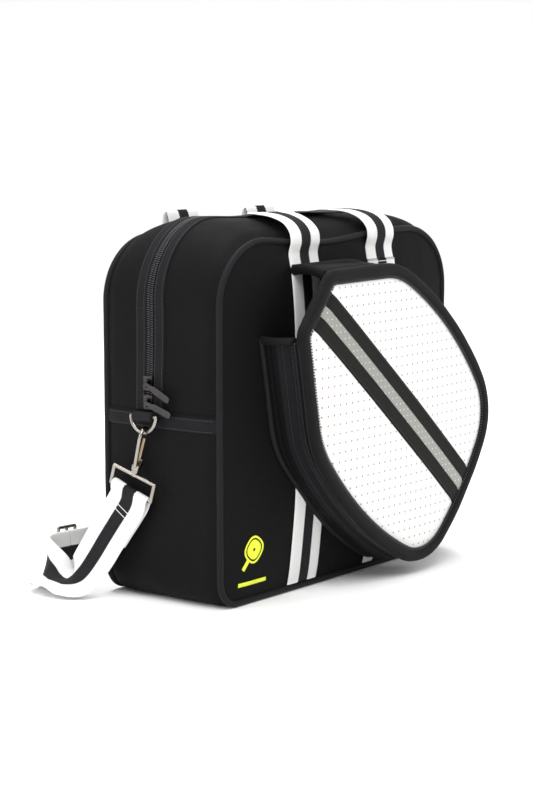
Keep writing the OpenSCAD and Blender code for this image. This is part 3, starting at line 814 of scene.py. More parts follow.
@dataclass
class BagShape:
    """The soft outer form: an arch seen from the front, whose gusset droops towards both seams.

    Sizes are in millimetres. The width, height and depth come from the CAD pipings.
    """

    top_radius: float = 62.0
    bottom_radius: float = 24.0
    piping_radius: float = 2.5
    side_drop: float = 2.2
    top_drop: float = 10.5
    front_bulge: float = 8.0
    back_bulge: float = 4.0
    zip_y: float = 8.0
    fold_z: float = 152.0

    def __post_init__(self) -> None:
        """Reads the box from the frame and lays out the outline."""
        low, high = cad_box("front_piping")
        back_high = cad_box("back_piping_lower")[1]
        self.half_w = high[0] + 0.1
        self.height = high[2] + 0.1
        self.front_y = low[1]
        self.back_y = back_high[1]
        self.seam_y = self.back_y - self.piping_radius
        r, b, w, h = self.top_radius, self.bottom_radius, self.half_w, self.height
        self.outline = Outline([
            Arc(w - b, b, b, -90, 0), Arc(w - r, h - r, r, 0, 90),
            Arc(r - w, h - r, r, 90, 180), Arc(b - w, b, b, 180, 270),
        ])
        corner = b * math.pi / 2
        arch = r * math.pi / 2
        self.right_foot = corner - b
        self.left_foot = corner + 2 * (h - r - b) + 2 * arch + 2 * (w - r) + b
        self.middle = np.array([0.0, 0.48 * h])
        s = np.linspace(0, self.outline.length, 721)[:-1]
        seam = self.seam_line(s)[:, [0, 2]] - self.middle
        angle = np.arctan2(seam[:, 1], seam[:, 0])
        order = np.argsort(angle)
        self._angles = angle[order]
        self._reach = np.linalg.norm(seam, axis=1)[order]

    def side_place(self, side: int, z: Array | float) -> Array:
        """Distance along the outline of a height on the right side (1) or the left side (-1)."""
        return self.right_foot + np.asarray(z, float) if side > 0 else self.left_foot - np.asarray(z, float)

    def drop(self, point: Array, normal: Array) -> Array:
        """How far the seams lie inside the crest: little at the sides, more along the top, most a little left
        of its middle, where the cloth sags between the handle's ends."""
        top = np.clip(normal[..., 1], 0, 1) ** 1.6
        sag = 6.5 * np.exp(-(((point[..., 0] + 26) / 62) ** 2))
        foot = np.clip(-normal[..., 1], 0, 1) ** 2
        return self.side_drop * (1 - 0.7 * foot) + top * (self.top_drop - self.side_drop + sag)

    def skin(self, s: Array, y: Array, lift: Array | float = 0.0) -> Array:
        """Points of the gusset: crest - normal * (drop * |t|^2.6 + tuck), where t is y over the seam's y.

        Args:
            s: Distances along the outline.
            y: Depths, from the front seam to the back seam.
            lift: How far outside the skin the points are.

        Returns:
            The points, in the shape of s and y together.
        """
        s, y, lift = np.broadcast_arrays(s, y, lift)
        point, normal = self.outline.at(s)
        t = np.abs(y) / self.seam_y
        inset = self.drop(point, normal) * t ** 2.6 + self.piping_radius * ease(0.80, 1.0, t)
        waves = (
            0.8 * np.sin(s / 41 + 1.3) * np.cos(y / 33 + 0.4) + 0.55 * np.sin(s / 23 + y / 29 + 2.1)
            + 0.3 * np.sin(s / 13.7 - y / 21)
        ) * (1 - t ** 4) * ease(-1.0, -0.6, normal[..., 1])
        out = lift - inset + waves
        return np.stack([point[..., 0] + normal[..., 0] * out, y, point[..., 1] + normal[..., 1] * out], -1)

    def out_of_skin(self, s: Array) -> Array:
        """Direction out of the gusset at distances along the outline."""
        normal = self.outline.at(s)[1]
        return np.stack([normal[..., 0], np.zeros_like(normal[..., 0]), normal[..., 1]], -1)

    def seam_line(self, s: Array, back: bool = False) -> Array:
        """Middle line of the piping on the front or the back seam."""
        return self.skin(s, np.full_like(s, self.seam_y if back else -self.seam_y))

    def share(self, x: Array, z: Array) -> Array:
        """How far a place on a panel lies from its middle, from 0 there to 1 at the seam."""
        dx, dz = x - self.middle[0], z - self.middle[1]
        reach = np.interp(np.arctan2(dz, dx), self._angles, self._reach, period=2 * math.pi)
        return np.hypot(dx, dz) / reach

    def panel_y(self, x: Array, z: Array, back: bool = False) -> Array:
        """Outer face of the front or back panel: flat with a crown of bulge * (1 - r^2.4)^1.2, rolled in at
        the seam, with slow waves.

        Args:
            x: Places across.
            z: Heights.
            back: Whether it is the back panel.

        Returns:
            The y of each place.
        """
        x, z = np.broadcast_arrays(np.asarray(x, float), np.asarray(z, float))
        r = np.clip(self.share(x, z), 0, 1)
        bulge = self.back_bulge if back else self.front_bulge
        crown = bulge * np.clip(1 - r ** 2.4, 0, 1) ** 1.2
        waves = (0.7 * np.sin(x / 31 + z / 47 + 0.6) + 0.5 * np.sin(x / 19 - z / 27 + 1.9)) * (1 - r ** 3)
        out = self.seam_y + (self.back_y - self.seam_y) * (1 - r ** 16) + crown + waves
        return out if back else -out


# ---- Bag body ----


@dataclass
class BagBody:
    """Panels, gussets, pipings and the bindings inside the seams."""

    shape: BagShape
    wall: float = 4.0
    panel_wall: float = 4.5
    rings: int = 46
    around: int = 300

    def flap(self, piece: Piece, finish: Finish, *nodes: str, inner: Finish | None = None) -> Piece:
        """Dresses a piece of the back flap, bakes its place into its mesh and hides the CAD nodes that it stands
        for.

        Args:
            piece: The piece.
            finish: Its finish.
            nodes: CAD nodes that it stands for.
            inner: Finish of its inner side.

        Returns:
            The same piece.
        """
        dress(piece, finish, inner)
        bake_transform(piece)
        if nodes:
            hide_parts(*nodes)
        log.info("%s bends between bag and back_flap", piece.name)
        return piece

    def panel(self, name: str, back: bool) -> Piece:
        """A panel as rings that shrink from its seam to its middle: point = middle + r * (seam - middle).

        Args:
            name: Name of the piece.
            back: Whether it is the back panel.

        Returns:
            The panel, as one surface.
        """
        s = np.linspace(0, self.shape.outline.length, self.around + 1)[:-1]
        seam = self.shape.seam_line(s, back)[:, [0, 2]]
        r = np.sin(np.linspace(0, math.pi / 2, self.rings))[:, None, None]
        flat = self.shape.middle + r * (seam - self.shape.middle)
        y = self.shape.panel_y(flat[..., 0], flat[..., 1], back)
        rings = np.stack([flat[..., 0], y, flat[..., 1]], -1)
        return disc_piece(name, rings, np.array([0, 1.0 if back else -1.0, 0]))

    def gusset(
        self, name: str, start: float, end: float, y0: float, y1: float, rows: int, columns: int
    ) -> Piece:
        """A stretch of the gusset between two places along the outline and two depths."""
        s = np.linspace(start, end, rows)[:, None]
        y = np.linspace(y0, y1, columns)[None, :]
        p = self.shape.skin(s, y)
        outward = np.broadcast_to(self.shape.out_of_skin(s), p.shape)
        return sheet_piece(name, p, outward, s[:, 0], y[0])

    def piping(self, name: str, back: bool) -> Piece:
        """Covered cord along a seam, very slightly uneven."""
        s = np.linspace(0, self.shape.outline.length, 461)[:-1]
        path = self.shape.seam_line(s, back)
        out = self.shape.out_of_skin(s)
        depth = np.broadcast_to([0.0, 1.0, 0.0], out.shape)
        radius = self.shape.piping_radius * (1.03 + 0.03 * np.sin(s / 6.1) * np.sin(s / 17.3))
        profile = round_profile(1.0, 16)[None] * radius[:, None, None]
        return carried(name, path, out, depth, profile, closed=True)

    def build(self) -> None:
        """Makes the body's pieces."""
        shape = self.shape
        seam = shape.seam_y
        up = shape.side_place(1, shape.fold_z)
        down = shape.side_place(-1, shape.fold_z)
        whole = shape.outline.length

        front = thickened(self.panel("front_panel_fabric", False), self.panel_wall)
        dress(front, Finish.NEOPRENE, Finish.LINING)
        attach(front, "bag")
        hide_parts("front_panel")
        back = thickened(self.panel("back_panel_fabric", True), self.panel_wall)
        self.flap(back, Finish.NEOPRENE, "back_panel_lower", "back_panel_upper", inner=Finish.LINING)

        lower = self.gusset("lower_gusset_fabric", down, whole + up, -seam, seam, 260, 41)
        thickened(lower, self.wall)
        dress(lower, Finish.NEOPRENE, Finish.LINING)
        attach(lower, "bag")
        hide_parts("lower_gusset")
        edge = shape.zip_y
        upper = self.gusset("front_upper_gusset_fabric", up, down, -seam, edge - 3.6, 260, 31)
        thickened(upper, self.wall)
        dress(upper, Finish.NEOPRENE, Finish.LINING)
        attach(upper, "bag")
        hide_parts("front_upper_gusset")
        rear = self.gusset("back_upper_gusset_fabric", up, down, edge + 3.6, seam, 260, 27)
        thickened(rear, self.wall)
        self.flap(rear, Finish.NEOPRENE, "back_upper_gusset", inner=Finish.LINING)

        settle(self.piping("front_piping_cord", False), Finish.PIPING, "bag", "front_piping")
        cord = self.piping("back_piping_cord", True)
        self.flap(cord, Finish.PIPING, "back_piping_lower", "back_piping_upper")
        self.seam_binding()
        dress(frame["nodes"]["base_board"], Finish.BOARD)

    def seam_binding(self) -> None:
        """Folded tape over the cut edges inside the front seam."""
        s = np.linspace(0, self.shape.outline.length, 241)[:-1]
        out = self.shape.out_of_skin(s)
        path = self.shape.seam_line(s) - out * 4.6 + [0, 6.5, 0]
        depth = np.broadcast_to([0.0, 1.0, 0.0], out.shape)
        profile = round_profile(3.4, 10, 0.5)[:, ::-1]
        piece = carried("front_seam_tape", path, out, depth, profile, closed=True)
        settle(piece, Finish.TAPE, "bag", "front_seam_binding")


# ---- Main zip ----


@dataclass
class MainZip:
    """Two stitched tapes and two rows of teeth over the top, and the cross tapes that end them."""

    shape: BagShape
    body: BagBody
    tape_thick: float = 1.1
    pitch: float = 1.75
    cross_z: float = 144.0
    cross_height: float = 12.0

    def arch(self, rows: int) -> Array:
        """Places along the arch, from the right end of the zip to the left one."""
        z = self.shape.fold_z + 0.5
        return np.linspace(self.shape.side_place(1, z), self.shape.side_place(-1, z), rows)

    def tape(self, name: str, way: int) -> Piece:
        """One woven tape: a step up beside the teeth, a flat field and a rolled outer edge.

        Args:
            name: Name of the piece.
            way: -1 for the front tape, 1 for the back one.

        Returns:
            The tape, with its thickness.
        """
        s = self.arch(340)[:, None]
        across = np.array([0.15, 2.2, 3.4, 3.9, 4.8, 7.0, 9.5, 12.0, 13.4, 14.0, 14.3])
        lift = np.array([-0.9, -0.9, -0.6, 0.7, 1.0, 1.05, 1.05, 1.1, 1.0, 0.6, -0.2]) * self.tape_thick
        y = self.shape.zip_y + way * across[None, :]
        p = self.shape.skin(s, y, lift[None, :])
        outward = np.broadcast_to(self.shape.out_of_skin(s), p.shape)
        return thickened(sheet_piece(name, p, outward, s[:, 0], across), 0.7)

    def teeth(self, name: str, way: int) -> Piece:
        """One row of coil teeth, each a small bar across the tape."""
        s = self.arch(900)
        y = np.full_like(s, self.shape.zip_y + way * 1.65)
        path = self.shape.skin(s, y, 0.25)
        out = self.shape.out_of_skin(s)
        at, along, up = evenly(path, self.pitch, out)
        at = at + along * (0.25 * way * self.pitch)
        side = unit(np.cross(up, along))
        return repeated(name, at, side, along, up, (2.9, 1.25, 1.7), Repeated.TOOTH)

    def stitches(self, name: str, across: float) -> Piece:
        """A row of stitches along the arch, a given distance behind the zip's middle line."""
        s = self.arch(700)
        y = np.full_like(s, self.shape.zip_y + across)
        path = self.shape.skin(s, y, self.tape_thick * 1.1)
        return stitch_row(name, path, self.shape.out_of_skin(s))

    def cross_tape(self, side: int) -> Piece:
        """The tape over the side gusset where the zip ends: a folded band with soft edges."""
        y = np.linspace(-self.shape.seam_y + 1.0, self.shape.seam_y - 1.0, 90)[:, None]
        k = np.linspace(-1, 1, 15)[None, :]
        lift = -0.3 + 1.75 * (1 - np.abs(k) ** 10) - 0.35 * np.exp(-((np.abs(k) - 0.72) / 0.1) ** 2)
        z = self.cross_z + k * self.cross_height / 2
        s = self.shape.side_place(side, z)
        p = self.shape.skin(np.broadcast_to(s, (90, 15)), np.broadcast_to(y, (90, 15)), lift)
        word = "right" if side > 0 else "left"
        piece = sheet_piece(f"{word}_cross_tape", p, np.array([float(side), 0, 0]), y[:, 0], z[0])
        return thickened(piece, 0.8)

    def cross_stitches(self, side: int, k: float) -> Piece:
        """A row of stitches along a cross tape, k of the way from its middle to its edge."""
        y = np.linspace(-self.shape.seam_y + 5, self.shape.seam_y - 5, 120)
        s = np.full_like(y, float(self.shape.side_place(side, self.cross_z + k * self.cross_height / 2)))
        path = self.shape.skin(s, y, 1.15)
        word = "right" if side > 0 else "left"
        rank = "upper" if k > 0 else "lower"
        return stitch_row(f"{word}_cross_stitches_{rank}", path, self.shape.out_of_skin(s))

    def build(self) -> None:
        """Makes the zip's pieces and dresses its sliders."""
        settle(self.tape("front_woven_tape", -1), Finish.TAPE, "bag", "front_zip_tape")
        self.body.flap(self.tape("back_woven_tape", 1), Finish.TAPE, "back_zip_tape")
        settle(self.teeth("front_coil_teeth", -1), Finish.TEETH, "bag", "front_zip_teeth")
        self.body.flap(self.teeth("back_coil_teeth", 1), Finish.TEETH, "back_zip_teeth")
        for rank, across in (("inner", 5.6), ("outer", 12.6)):
            settle(self.stitches(f"front_tape_stitches_{rank}", -across), Finish.THREAD, "bag")
            self.body.flap(self.stitches(f"back_tape_stitches_{rank}", across), Finish.THREAD)
        for side, word in ((-1, "left"), (1, "right")):
            settle(self.cross_tape(side), Finish.TAPE, "bag", f"{word}_end_tape")
            for k in (-0.72, 0.72):
                settle(self.cross_stitches(side, k), Finish.THREAD, "bag")
        for node in ("upper_zip_slider", "lower_zip_slider", "upper_zip_pull", "lower_zip_pull"):
            dress(frame["nodes"][node], Finish.SLIDER)


# ---- Webbings and handles ----


@dataclass
class Webbings:
    """Striped webbing that runs up each panel and becomes the carrying handles."""

    shape: BagShape
    body: BagBody
    width: float = 38.0
    thick: float = 1.9
    x: float = 52.0
    join_z: float = 262.0

    def upright(self, name: str, x: float, back: bool, z0: float, z1: float) -> Piece:
        """A length of webbing that follows a panel: y = panel +- height over it.

        Args:
            name: Name of the piece.
            x: Middle of the webbing.
            back: Whether it is on the back panel.
            z0: Its lower end.
            z1: Its upper end.

        Returns:
            The piece.
        """
        profile, v = band_profile(self.width, self.thick, 17)
        z = np.linspace(z0, z1, 110)
        px = x + np.broadcast_to(profile[:, 0], (len(z), len(profile)))
        pz = np.broadcast_to(z[:, None], px.shape)
        over = self.thick / 2 - 0.1 + profile[:, 1]
        way = 1.0 if back else -1.0
        y = self.shape.panel_y(px, pz, back) + way * over
        p = np.stack([px, y, pz], -1).reshape(-1, 3)
        m = len(profile)
        faces = grid_faces(len(z), m, wrap_columns=True).tolist()
        uv = grid_uv(z, np.append(v, v[0]))
        faces += [list(range(m)), list(range(len(p) - m, len(p)))[::-1]]
        ends = [np.stack([np.full(m, z0), v], -1), np.stack([np.full(m, z1), v[::-1]], -1)]
        faces, uv = turned_outwards(p, faces, np.concatenate([uv, *ends]))
        return new_piece(name, p, faces, uv)

    def band(self, name: str, route: Array, across: Array, steps: int, thick: float | None = None) -> Piece:
        """A flat band along a smooth route; the side direction is across less its part along the route."""
        path = smooth_path(route, steps)
        side = smooth_path(across, steps)
        along = unit(np.gradient(path, axis=0))
        side = unit(side - (side * along).sum(-1, keepdims=True) * along)
        up = unit(np.cross(along, side))
        profile, v = band_profile(self.width, thick or self.thick, 17)
        return carried(name, path, side, up, profile, v=v)

    def front_handle(self) -> Piece:
        """Up over the front seam, back over the top in a flat bow, and down again."""
        x, lift = self.x, self.thick / 2 - 0.1
        y0, y1 = (self.shape.panel_y(-x, z) - lift for z in (self.join_z, self.join_z + 10))
        half = np.array([
            [-x, y0, self.join_z], [-x, y1, self.join_z + 10], [-x, -62.6, 281], [-x, -61.0, 289],
            [-x, -54, 296], [-x + 1, -42, 300.2], [-x + 5, -28, 301.6], [-x + 17, -14, 301.3],
            [-x + 34, -8.5, 300.6],
        ])
        across = np.array([
            [1, 0, 0], [1, 0, 0], [1, 0, 0], [1, 0, 0], [1, 0.02, 0], [1, -0.05, 0], [0.92, -0.35, 0],
            [0.5, -0.86, 0.05], [0.12, -1, 0.12],
        ])
        route = np.concatenate([half, [[0, -7.5, 300.4]], half[::-1] * [-1, 1, 1]])
        other = np.stack([-across[::-1, 0], across[::-1, 1], across[::-1, 2]], -1)
        sides = np.concatenate([across, [[0, -1, 0.1]], other])
        return self.band("front_handle_webbing", route, sides, 10)

    def back_handle(self) -> Piece:
        """Up to the back edge, folded over and hanging down behind."""
        x, lift = self.x, self.thick / 2 - 0.1
        y0 = self.shape.panel_y(-x, self.join_z, True) + lift
        y1 = self.shape.panel_y(-x, self.join_z + 12, True) + lift
        half = np.array([
            [-x, y0, self.join_z], [-x, y1, self.join_z + 12], [-x, 62.4, 285], [-x, 62.9, 295],
            [-x, 65.6, 301.5], [-x, 69.2, 298], [-x + 0.5, 70.6, 288], [-x + 2, 70.8, 272], [-x + 9, 70.6, 254],
            [-x + 20, 69.8, 240], [-x + 36, 68.8, 231],
        ])
        across = np.array([
            [1, 0, 0], [1, 0, 0], [1, 0, 0], [1, 0, 0], [1, 0, 0], [1, 0, 0], [1, 0, 0.02], [0.97, 0, 0.2],
            [0.8, 0, 0.55], [0.5, 0, 0.85], [0.16, 0, 1],
        ])
        route = np.concatenate([half, [[0, 68.4, 228.4]], half[::-1] * [-1, 1, 1]])
        other = np.stack([-across[::-1, 0], across[::-1, 1], across[::-1, 2]], -1)
        sides = np.concatenate([across, [[0, 0, 1]], other])
        return self.band("back_handle_webbing", route, sides, 10)

    def bar_tacks(self, name: str, x: float, z: float, back: bool) -> Piece:
        """Two short rows of light stitches across the dark stripe."""
        k = np.tile(np.linspace(-5.2, 5.2, 7), 2)
        pz = np.repeat([z, z - 2.6], 7)
        way = 1.0 if back else -1.0
        y = self.shape.panel_y(x + k, pz, back) + way * (self.thick + 0.05)
        at = np.stack([x + k, y, pz], -1)
        one = np.ones((len(at), 1))
        return repeated(
            name, at, one * [1.0, 0, 0], one * [0, 0, 1.0], one * [0, way, 0], (1.7, 0.6, 0.5), Repeated.STITCH
        )

    def build(self) -> None:
        """Makes the webbings, the handles and their stitching."""
        foot = 6.5
        for x, word in ((-self.x, "left"), (self.x, "right")):
            front = self.upright(f"front_{word}_webbing", x, False, foot, self.join_z)
            settle(front, Finish.WEBBING, "bag", "front_webbings")
            back = self.upright(f"back_{word}_webbing", x, True, foot, self.join_z)
            self.body.flap(back, Finish.WEBBING, "back_webbings_lower", "back_webbings_upper")
            tack = self.bar_tacks(f"front_{word}_bar_tack", x, self.join_z - 2, False)
            settle(tack, Finish.WHITE_THREAD, "bag")
            tack = self.bar_tacks(f"back_{word}_bar_tack", x, self.join_z - 2, True)
            self.body.flap(tack, Finish.WHITE_THREAD)
        front = dress(self.front_handle(), Finish.WEBBING)
        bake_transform(front)
        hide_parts("front_handle")
        back = dress(self.back_handle(), Finish.WEBBING)
        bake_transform(back)
        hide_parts("back_handle")


@dataclass
class ShoulderStrap:
    """Webbing that hangs from the left loop, touches the ground, runs round behind the bag and comes back
    up to the right loop. Its route is the CAD strap's, half of it, mirrored for the other half."""

    webbings: Webbings
    fold: float = 42.0
    wrap: float = 2.7
    split: float = -134.0
    route: tuple = (
        (-169, 36, 61), (-175, 50, 37), (-181, 62, 18), (-185, 75, 11), (-184, 89, 12), (-177, 103, 17.5),
        (-162, 117, 20.1), (-145, 120.6, 20), (-120, 118, 20), (-90, 114.9, 20), (-50, 118, 20),
    )
    sides: tuple = (
        (0, 0.96, 0.27), (0, 0.97, 0.25), (0.1, 0.97, 0.15), (0.4, 0.9, 0), (0.75, 0.6, 0.3),
        (0.6, 0.2, 0.75), (0.2, 0, 0.97), (0, 0, 1), (0, 0, 1), (0, 0, 1), (0, 0, 1),
    )

    def loop_bar(self) -> tuple[Array, Array]:
        """Middle of the lower bar of the left loop, and the direction of the bar."""
        low, high = cad_box("left_strap_loop")
        tilt = math.radians(16)
        return np.array([(low[0] + high[0]) / 2, 21.8, 87.2]), np.array([0, math.cos(tilt), math.sin(tilt)])

    def half_line(self) -> tuple[Array, Array]:
        """Route and widths from the left bar to the middle of the back, before the ends are folded."""
        bar, side = self.loop_bar()
        route = np.concatenate([[bar, bar + [0.1, 3.6, -9.2]], np.array(self.route, float)])
        sides = np.concatenate([[side, side], np.array(self.sides, float)])
        return route, sides

    def laid(self) -> tuple[Array, Array, Array]:
        """Points, width directions and outward directions of the left half of the strap, close together."""
        route, sides = self.half_line()
        path = smooth_path(np.concatenate([route, [[0, 112, 20]]]), 16)
        side = smooth_path(np.concatenate([sides, [[0, 0, 1]]]), 16)
        along = unit(np.gradient(path, axis=0))
        side = unit(side - (side * along).sum(-1, keepdims=True) * along)
        return path, side, unit(np.cross(side, along))

    def left_end(self) -> tuple[Array, Array, Array]:
        """The left half with its end folded round the bar: up behind the strap, over the bar and down in front.

        Returns:
            Points, width directions and outward directions, from the sewn end to the middle of the back.
        """
        path, side, out = self.laid()
        s = np.concatenate([[0], np.cumsum(np.linalg.norm(np.diff(path, axis=0), axis=1))])
        apart = 1.05 + (self.wrap - 1.05) * (1 - ease(1.0, 13.0, s))
        keep = ease(self.fold + 22, self.fold + 2, s)
        front = path + out * (apart * keep)[:, None]
        inner = s <= self.fold
        back = (path - out * apart[:, None])[inner][::-1]
        a = np.linspace(0, math.pi, 11)[1:-1, None]
        bar = path[0]
        up = -unit(path[3] - path[0])
        arc = bar + self.wrap * (-out[0] * np.cos(a) + up * np.sin(a))
        arc_out = -out[0] * np.cos(a) + up * np.sin(a)
        points = np.concatenate([back, arc, front])
        sides = np.concatenate([side[inner][::-1], np.repeat(side[:1], len(arc), 0), side])
        outs = np.concatenate([-out[inner][::-1], arc_out, out])
        return points, sides, unit(outs)

    def curl(self, count: int) -> Array:
        """A band profile for each point, cupped a little by an amount that changes slowly along the strap."""
        profile, _ = band_profile(self.webbings.width, self.webbings.thick, 17)
        x = profile[:, 0] / (self.webbings.width / 2)
        cup = 0.55 * np.sin(np.linspace(0, 9.0, count)) * ease(0, 30, np.arange(count))
        shapes = np.broadcast_to(profile, (count, *profile.shape)).copy()
        shapes[..., 1] += cup[:, None] * (x ** 2 - 0.5)[None]
        return shapes

    def stitches(self, name: str, away: float, mirror: bool) -> Piece:
        """Two light rows across the dark stripe, where the folded end is sewn down."""
        points, sides, outs = self.left_end()
        bar = int(np.argmax(points[:, 2]))
        s = np.concatenate([[0], np.cumsum(np.linalg.norm(np.diff(points[bar:], axis=0), axis=1))])
        k = np.tile(np.linspace(-5.4, 5.4, 8), 2)
        at = np.repeat([away, away + 4.5], 8)
        pick = [np.stack([np.interp(at, s, a[bar:, c]) for c in range(3)], -1) for a in (points, sides, outs)]
        place = pick[0] + pick[1] * k[:, None] + pick[2] * (self.webbings.thick / 2 + 0.05)
        flip = np.array([-1.0, 1, 1]) if mirror else np.ones(3)
        across = pick[1] * flip
        out = pick[2] * flip
        return repeated(name, place * flip, across, np.cross(out, across), out, (1.6, 0.6, 0.5), Repeated.STITCH)

    def build(self) -> None:
        """Makes the two lengths of the strap, which meet under the adjuster."""
        points, sides, outs = self.left_end()
        right = [a[::-1][1:] * [-1, 1, 1] for a in (points, sides, outs)]
        behind = (points[:, 1] > 100) & (points[:, 0] > self.split)
        cut = int(np.argmax(behind))
        v = band_profile(self.webbings.width, self.webbings.thick, 17)[1]
        for word, parts in (
            ("left", [a[: cut + 1] for a in (points, sides, outs)]),
            ("right", [np.concatenate([a[cut:], b]) for a, b in zip((points, sides, outs), right)]),
        ):
            path, side, out = parts
            shapes = self.curl(len(path)) if word == "left" else self.curl(len(path))[::-1]
            piece = carried(f"shoulder_strap_{word}", path, side, out, shapes, v=v)
            dress(piece, Finish.WEBBING)
            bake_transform(piece)
            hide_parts("shoulder_strap")
            stitches = self.stitches(f"shoulder_strap_{word}_stitches", 20.0, word == "right")
            dress(stitches, Finish.WHITE_THREAD)
            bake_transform(stitches)


@dataclass
class Hardware:
    """The CAD's own metal pieces and webbing tabs, which only need their finish."""

    metal: tuple = (
        "left_d_ring", "right_d_ring", "left_hook", "right_hook", "left_strap_loop", "right_strap_loop",
        "strap_adjuster",
    )

    def build(self) -> None:
        """Dresses the rings, hooks, loops, gates and tabs."""
        for node in self.metal:
            dress(frame["nodes"][node], Finish.GUNMETAL)
        for side in ("left", "right"):
            dress(frame["nodes"][f"{side}_hook_gate"], Finish.BRASS_TINT)
            dress(frame["nodes"][f"{side}_ring_tab"], Finish.TAB)


# ---- Paddle case ----


def angle_of(v: Array) -> float:
    """Direction of a plane vector in degrees, from 0 to 360."""
    return math.degrees(math.atan2(v[1], v[0])) % 360


@dataclass
class PaddleCase:
    """The case on the front: a gusset that follows the paddle's outline, a two-way zip, and a padded white
    face.

    Its own plane has u along the case from the mouth (-) to the round end (+), and v across it.
    Levels are distances in front of the plane of the front panel's edge.
    """

    shape: BagShape
    length: float = 262.0
    width: float = 186.0
    mouth: float = 54.0
    end: float = 122.0
    corner_in_u: float = 51.0
    corner_in_v: float = 56.0
    corner_radius: float = 48.0
    shoulder: float = 85.0
    shoulder_radius: float = 70.0
    mouth_radius: float = 6.0
    tilt: float = 39.5
    x: float = 20.0
    z: float = 143.0
    depth: float = 47.0
    zip_level: float = 34.0
    binding: float = 10.0
    stripe: float = 35.0
    silver: float = 10.0
    pitch: float = 1.75
    face_middle: float = -4.0

    def __post_init__(self) -> None:
        """Lays out the outline, from the mouth's lower corner round the closed end to its upper corner."""
        self.mouth_u = self.end - self.length
        corner = np.array([self.end - self.corner_in_u, self.width / 2 - self.corner_in_v])
        r = self.corner_radius
        end_r = (self.corner_in_u ** 2 + corner[1] ** 2 - r ** 2) / (2 * (self.corner_in_u - r))
        end = np.array([self.end - end_r, 0.0])
        end_turn = angle_of(corner - end)
        side_u = (corner[0] + self.mouth_u + self.shoulder) / 2
        side_r = ((corner[0] - side_u) ** 2 + self.corner_in_v ** 2 - r ** 2) / (2 * (self.corner_in_v - r))
        side = np.array([side_u, self.width / 2 - side_r])
        corner_turn = angle_of(corner - side)
        side_turn = 90 + math.degrees(math.asin((side_u - self.mouth_u - self.shoulder) / side_r))
        away = math.radians(side_turn)
        shoulder = side + (side_r - self.shoulder_radius) * np.array([math.cos(away), math.sin(away)])
        m = self.mouth_radius
        lip = np.array([self.mouth_u + m, self.mouth / 2 - m + 1.5])
        gap = lip - shoulder
        turn = angle_of(gap) - math.degrees(math.acos((self.shoulder_radius - m) / float(np.hypot(*gap))))
        arcs = [
            Arc(lip[0], -lip[1], m, 180, 360 - turn),
            Arc(shoulder[0], -shoulder[1], self.shoulder_radius, 360 - turn, 360 - side_turn),
            Arc(side[0], -side[1], side_r, 360 - side_turn, 360 - corner_turn),
            Arc(corner[0], -corner[1], r, 360 - corner_turn, 360 - end_turn),
            Arc(end[0], 0.0, end_r, 360 - end_turn, 360 + end_turn),
            Arc(corner[0], corner[1], r, 360 + end_turn, 360 + corner_turn),
            Arc(side[0], side[1], side_r, 360 + corner_turn, 360 + side_turn),
            Arc(shoulder[0], shoulder[1], self.shoulder_radius, 360 + side_turn, 360 + turn),
            Arc(lip[0], lip[1], m, 360 + turn, 540),
        ]
        self.outline = Outline(arcs)
        self.open_length = Outline(arcs, closed=False).length
        self.front_y = self.shape.front_y
        t = math.radians(self.tilt)
        self.axis_u = np.array([math.cos(t), 0, -math.sin(t)])
        self.axis_v = np.array([math.sin(t), 0, math.cos(t)])
        self.origin = np.array([self.x, self.front_y, self.z])

    def world(self, u: Array, v: Array, level: Array | float) -> Array:
        """Point of a place in the case's plane and a level."""
        u, v, level = np.broadcast_arrays(u, v, level)
        forward = np.array([0, -1.0, 0])
        in_plane = self.origin + u[..., None] * self.axis_u + v[..., None] * self.axis_v
        return in_plane + level[..., None] * forward

    def edge(self, s: Array, grow: Array | float, level: Array | float) -> Array:
        """Point beside the outline: outline + normal * grow, at a level."""
        s, grow, level = np.broadcast_arrays(s, grow, level)
        point, normal = self.outline.at(s)
        return self.world(point[..., 0] + normal[..., 0] * grow, point[..., 1] + normal[..., 1] * grow, level)

    def outward(self, s: Array) -> Array:
        """Direction out of the outline at distances along it."""
        normal = self.outline.at(s)[1]
        return normal[..., :1] * self.axis_u + normal[..., 1:] * self.axis_v

    def base_level(self, s: Array, grow: float) -> Array:
        """Level of the crowned front panel under the outline."""
        p = self.edge(s, grow, 0.0)
        return self.front_y - self.shape.panel_y(p[..., 0], p[..., 2])

    def wall(self, name: str, k0: float, k1: float, columns: int, proud: float = 0.0) -> Piece:
        """A band of the rear gusset between two shares of the way from the panel to the zip.

        It is out by 8 + 2.6 * sin(pi * k^0.8) less 2.4 * k^4, with two shallow folds round it.

        Args:
            name: Name of the piece.
            k0: Share where it starts.
            k1: Share where it ends.
            columns: Points across it.
            proud: How far it stands outside that line.

        Returns:
            The band.
        """
        s = np.linspace(6.0, self.open_length - 6.0, 420)[:, None]
        k = np.linspace(k0, k1, columns)[None, :]
        base = self.base_level(s[:, 0], 8.0)[:, None]
        level = base + (self.zip_level - 2.9 - base) * k
        grow = 8 + 2.6 * np.sin(math.pi * k ** 0.8) - 2.4 * k ** 4 - 0.8 * np.exp(-((k - 0.36) / 0.05) ** 2)
        grow = grow + proud + 0.7 * np.sin(s / 17) * np.sin(math.pi * k)
        p = self.edge(s, grow, level)
        outward = np.broadcast_to(self.outward(s[:, 0])[:, None], p.shape)
        return sheet_piece(name, p, outward, s[:, 0], level[0])

    def front_wall(self) -> Piece:
        """The narrow band between the zip and the binding of the face."""
        s = np.linspace(6.0, self.open_length - 6.0, 420)[:, None]
        level = np.linspace(self.zip_level + 2.9, self.depth - 6.5, 8)[None, :]
        grow = 5.8 + 0.9 * np.sin(np.linspace(0, math.pi, 8))[None, :] + 0 * s
        p = self.edge(s, grow, level + 0 * s)
        outward = np.broadcast_to(self.outward(s[:, 0])[:, None], p.shape)
        return thickened(sheet_piece("case_front_tape", p, outward, s[:, 0], level[0]), 1.6)

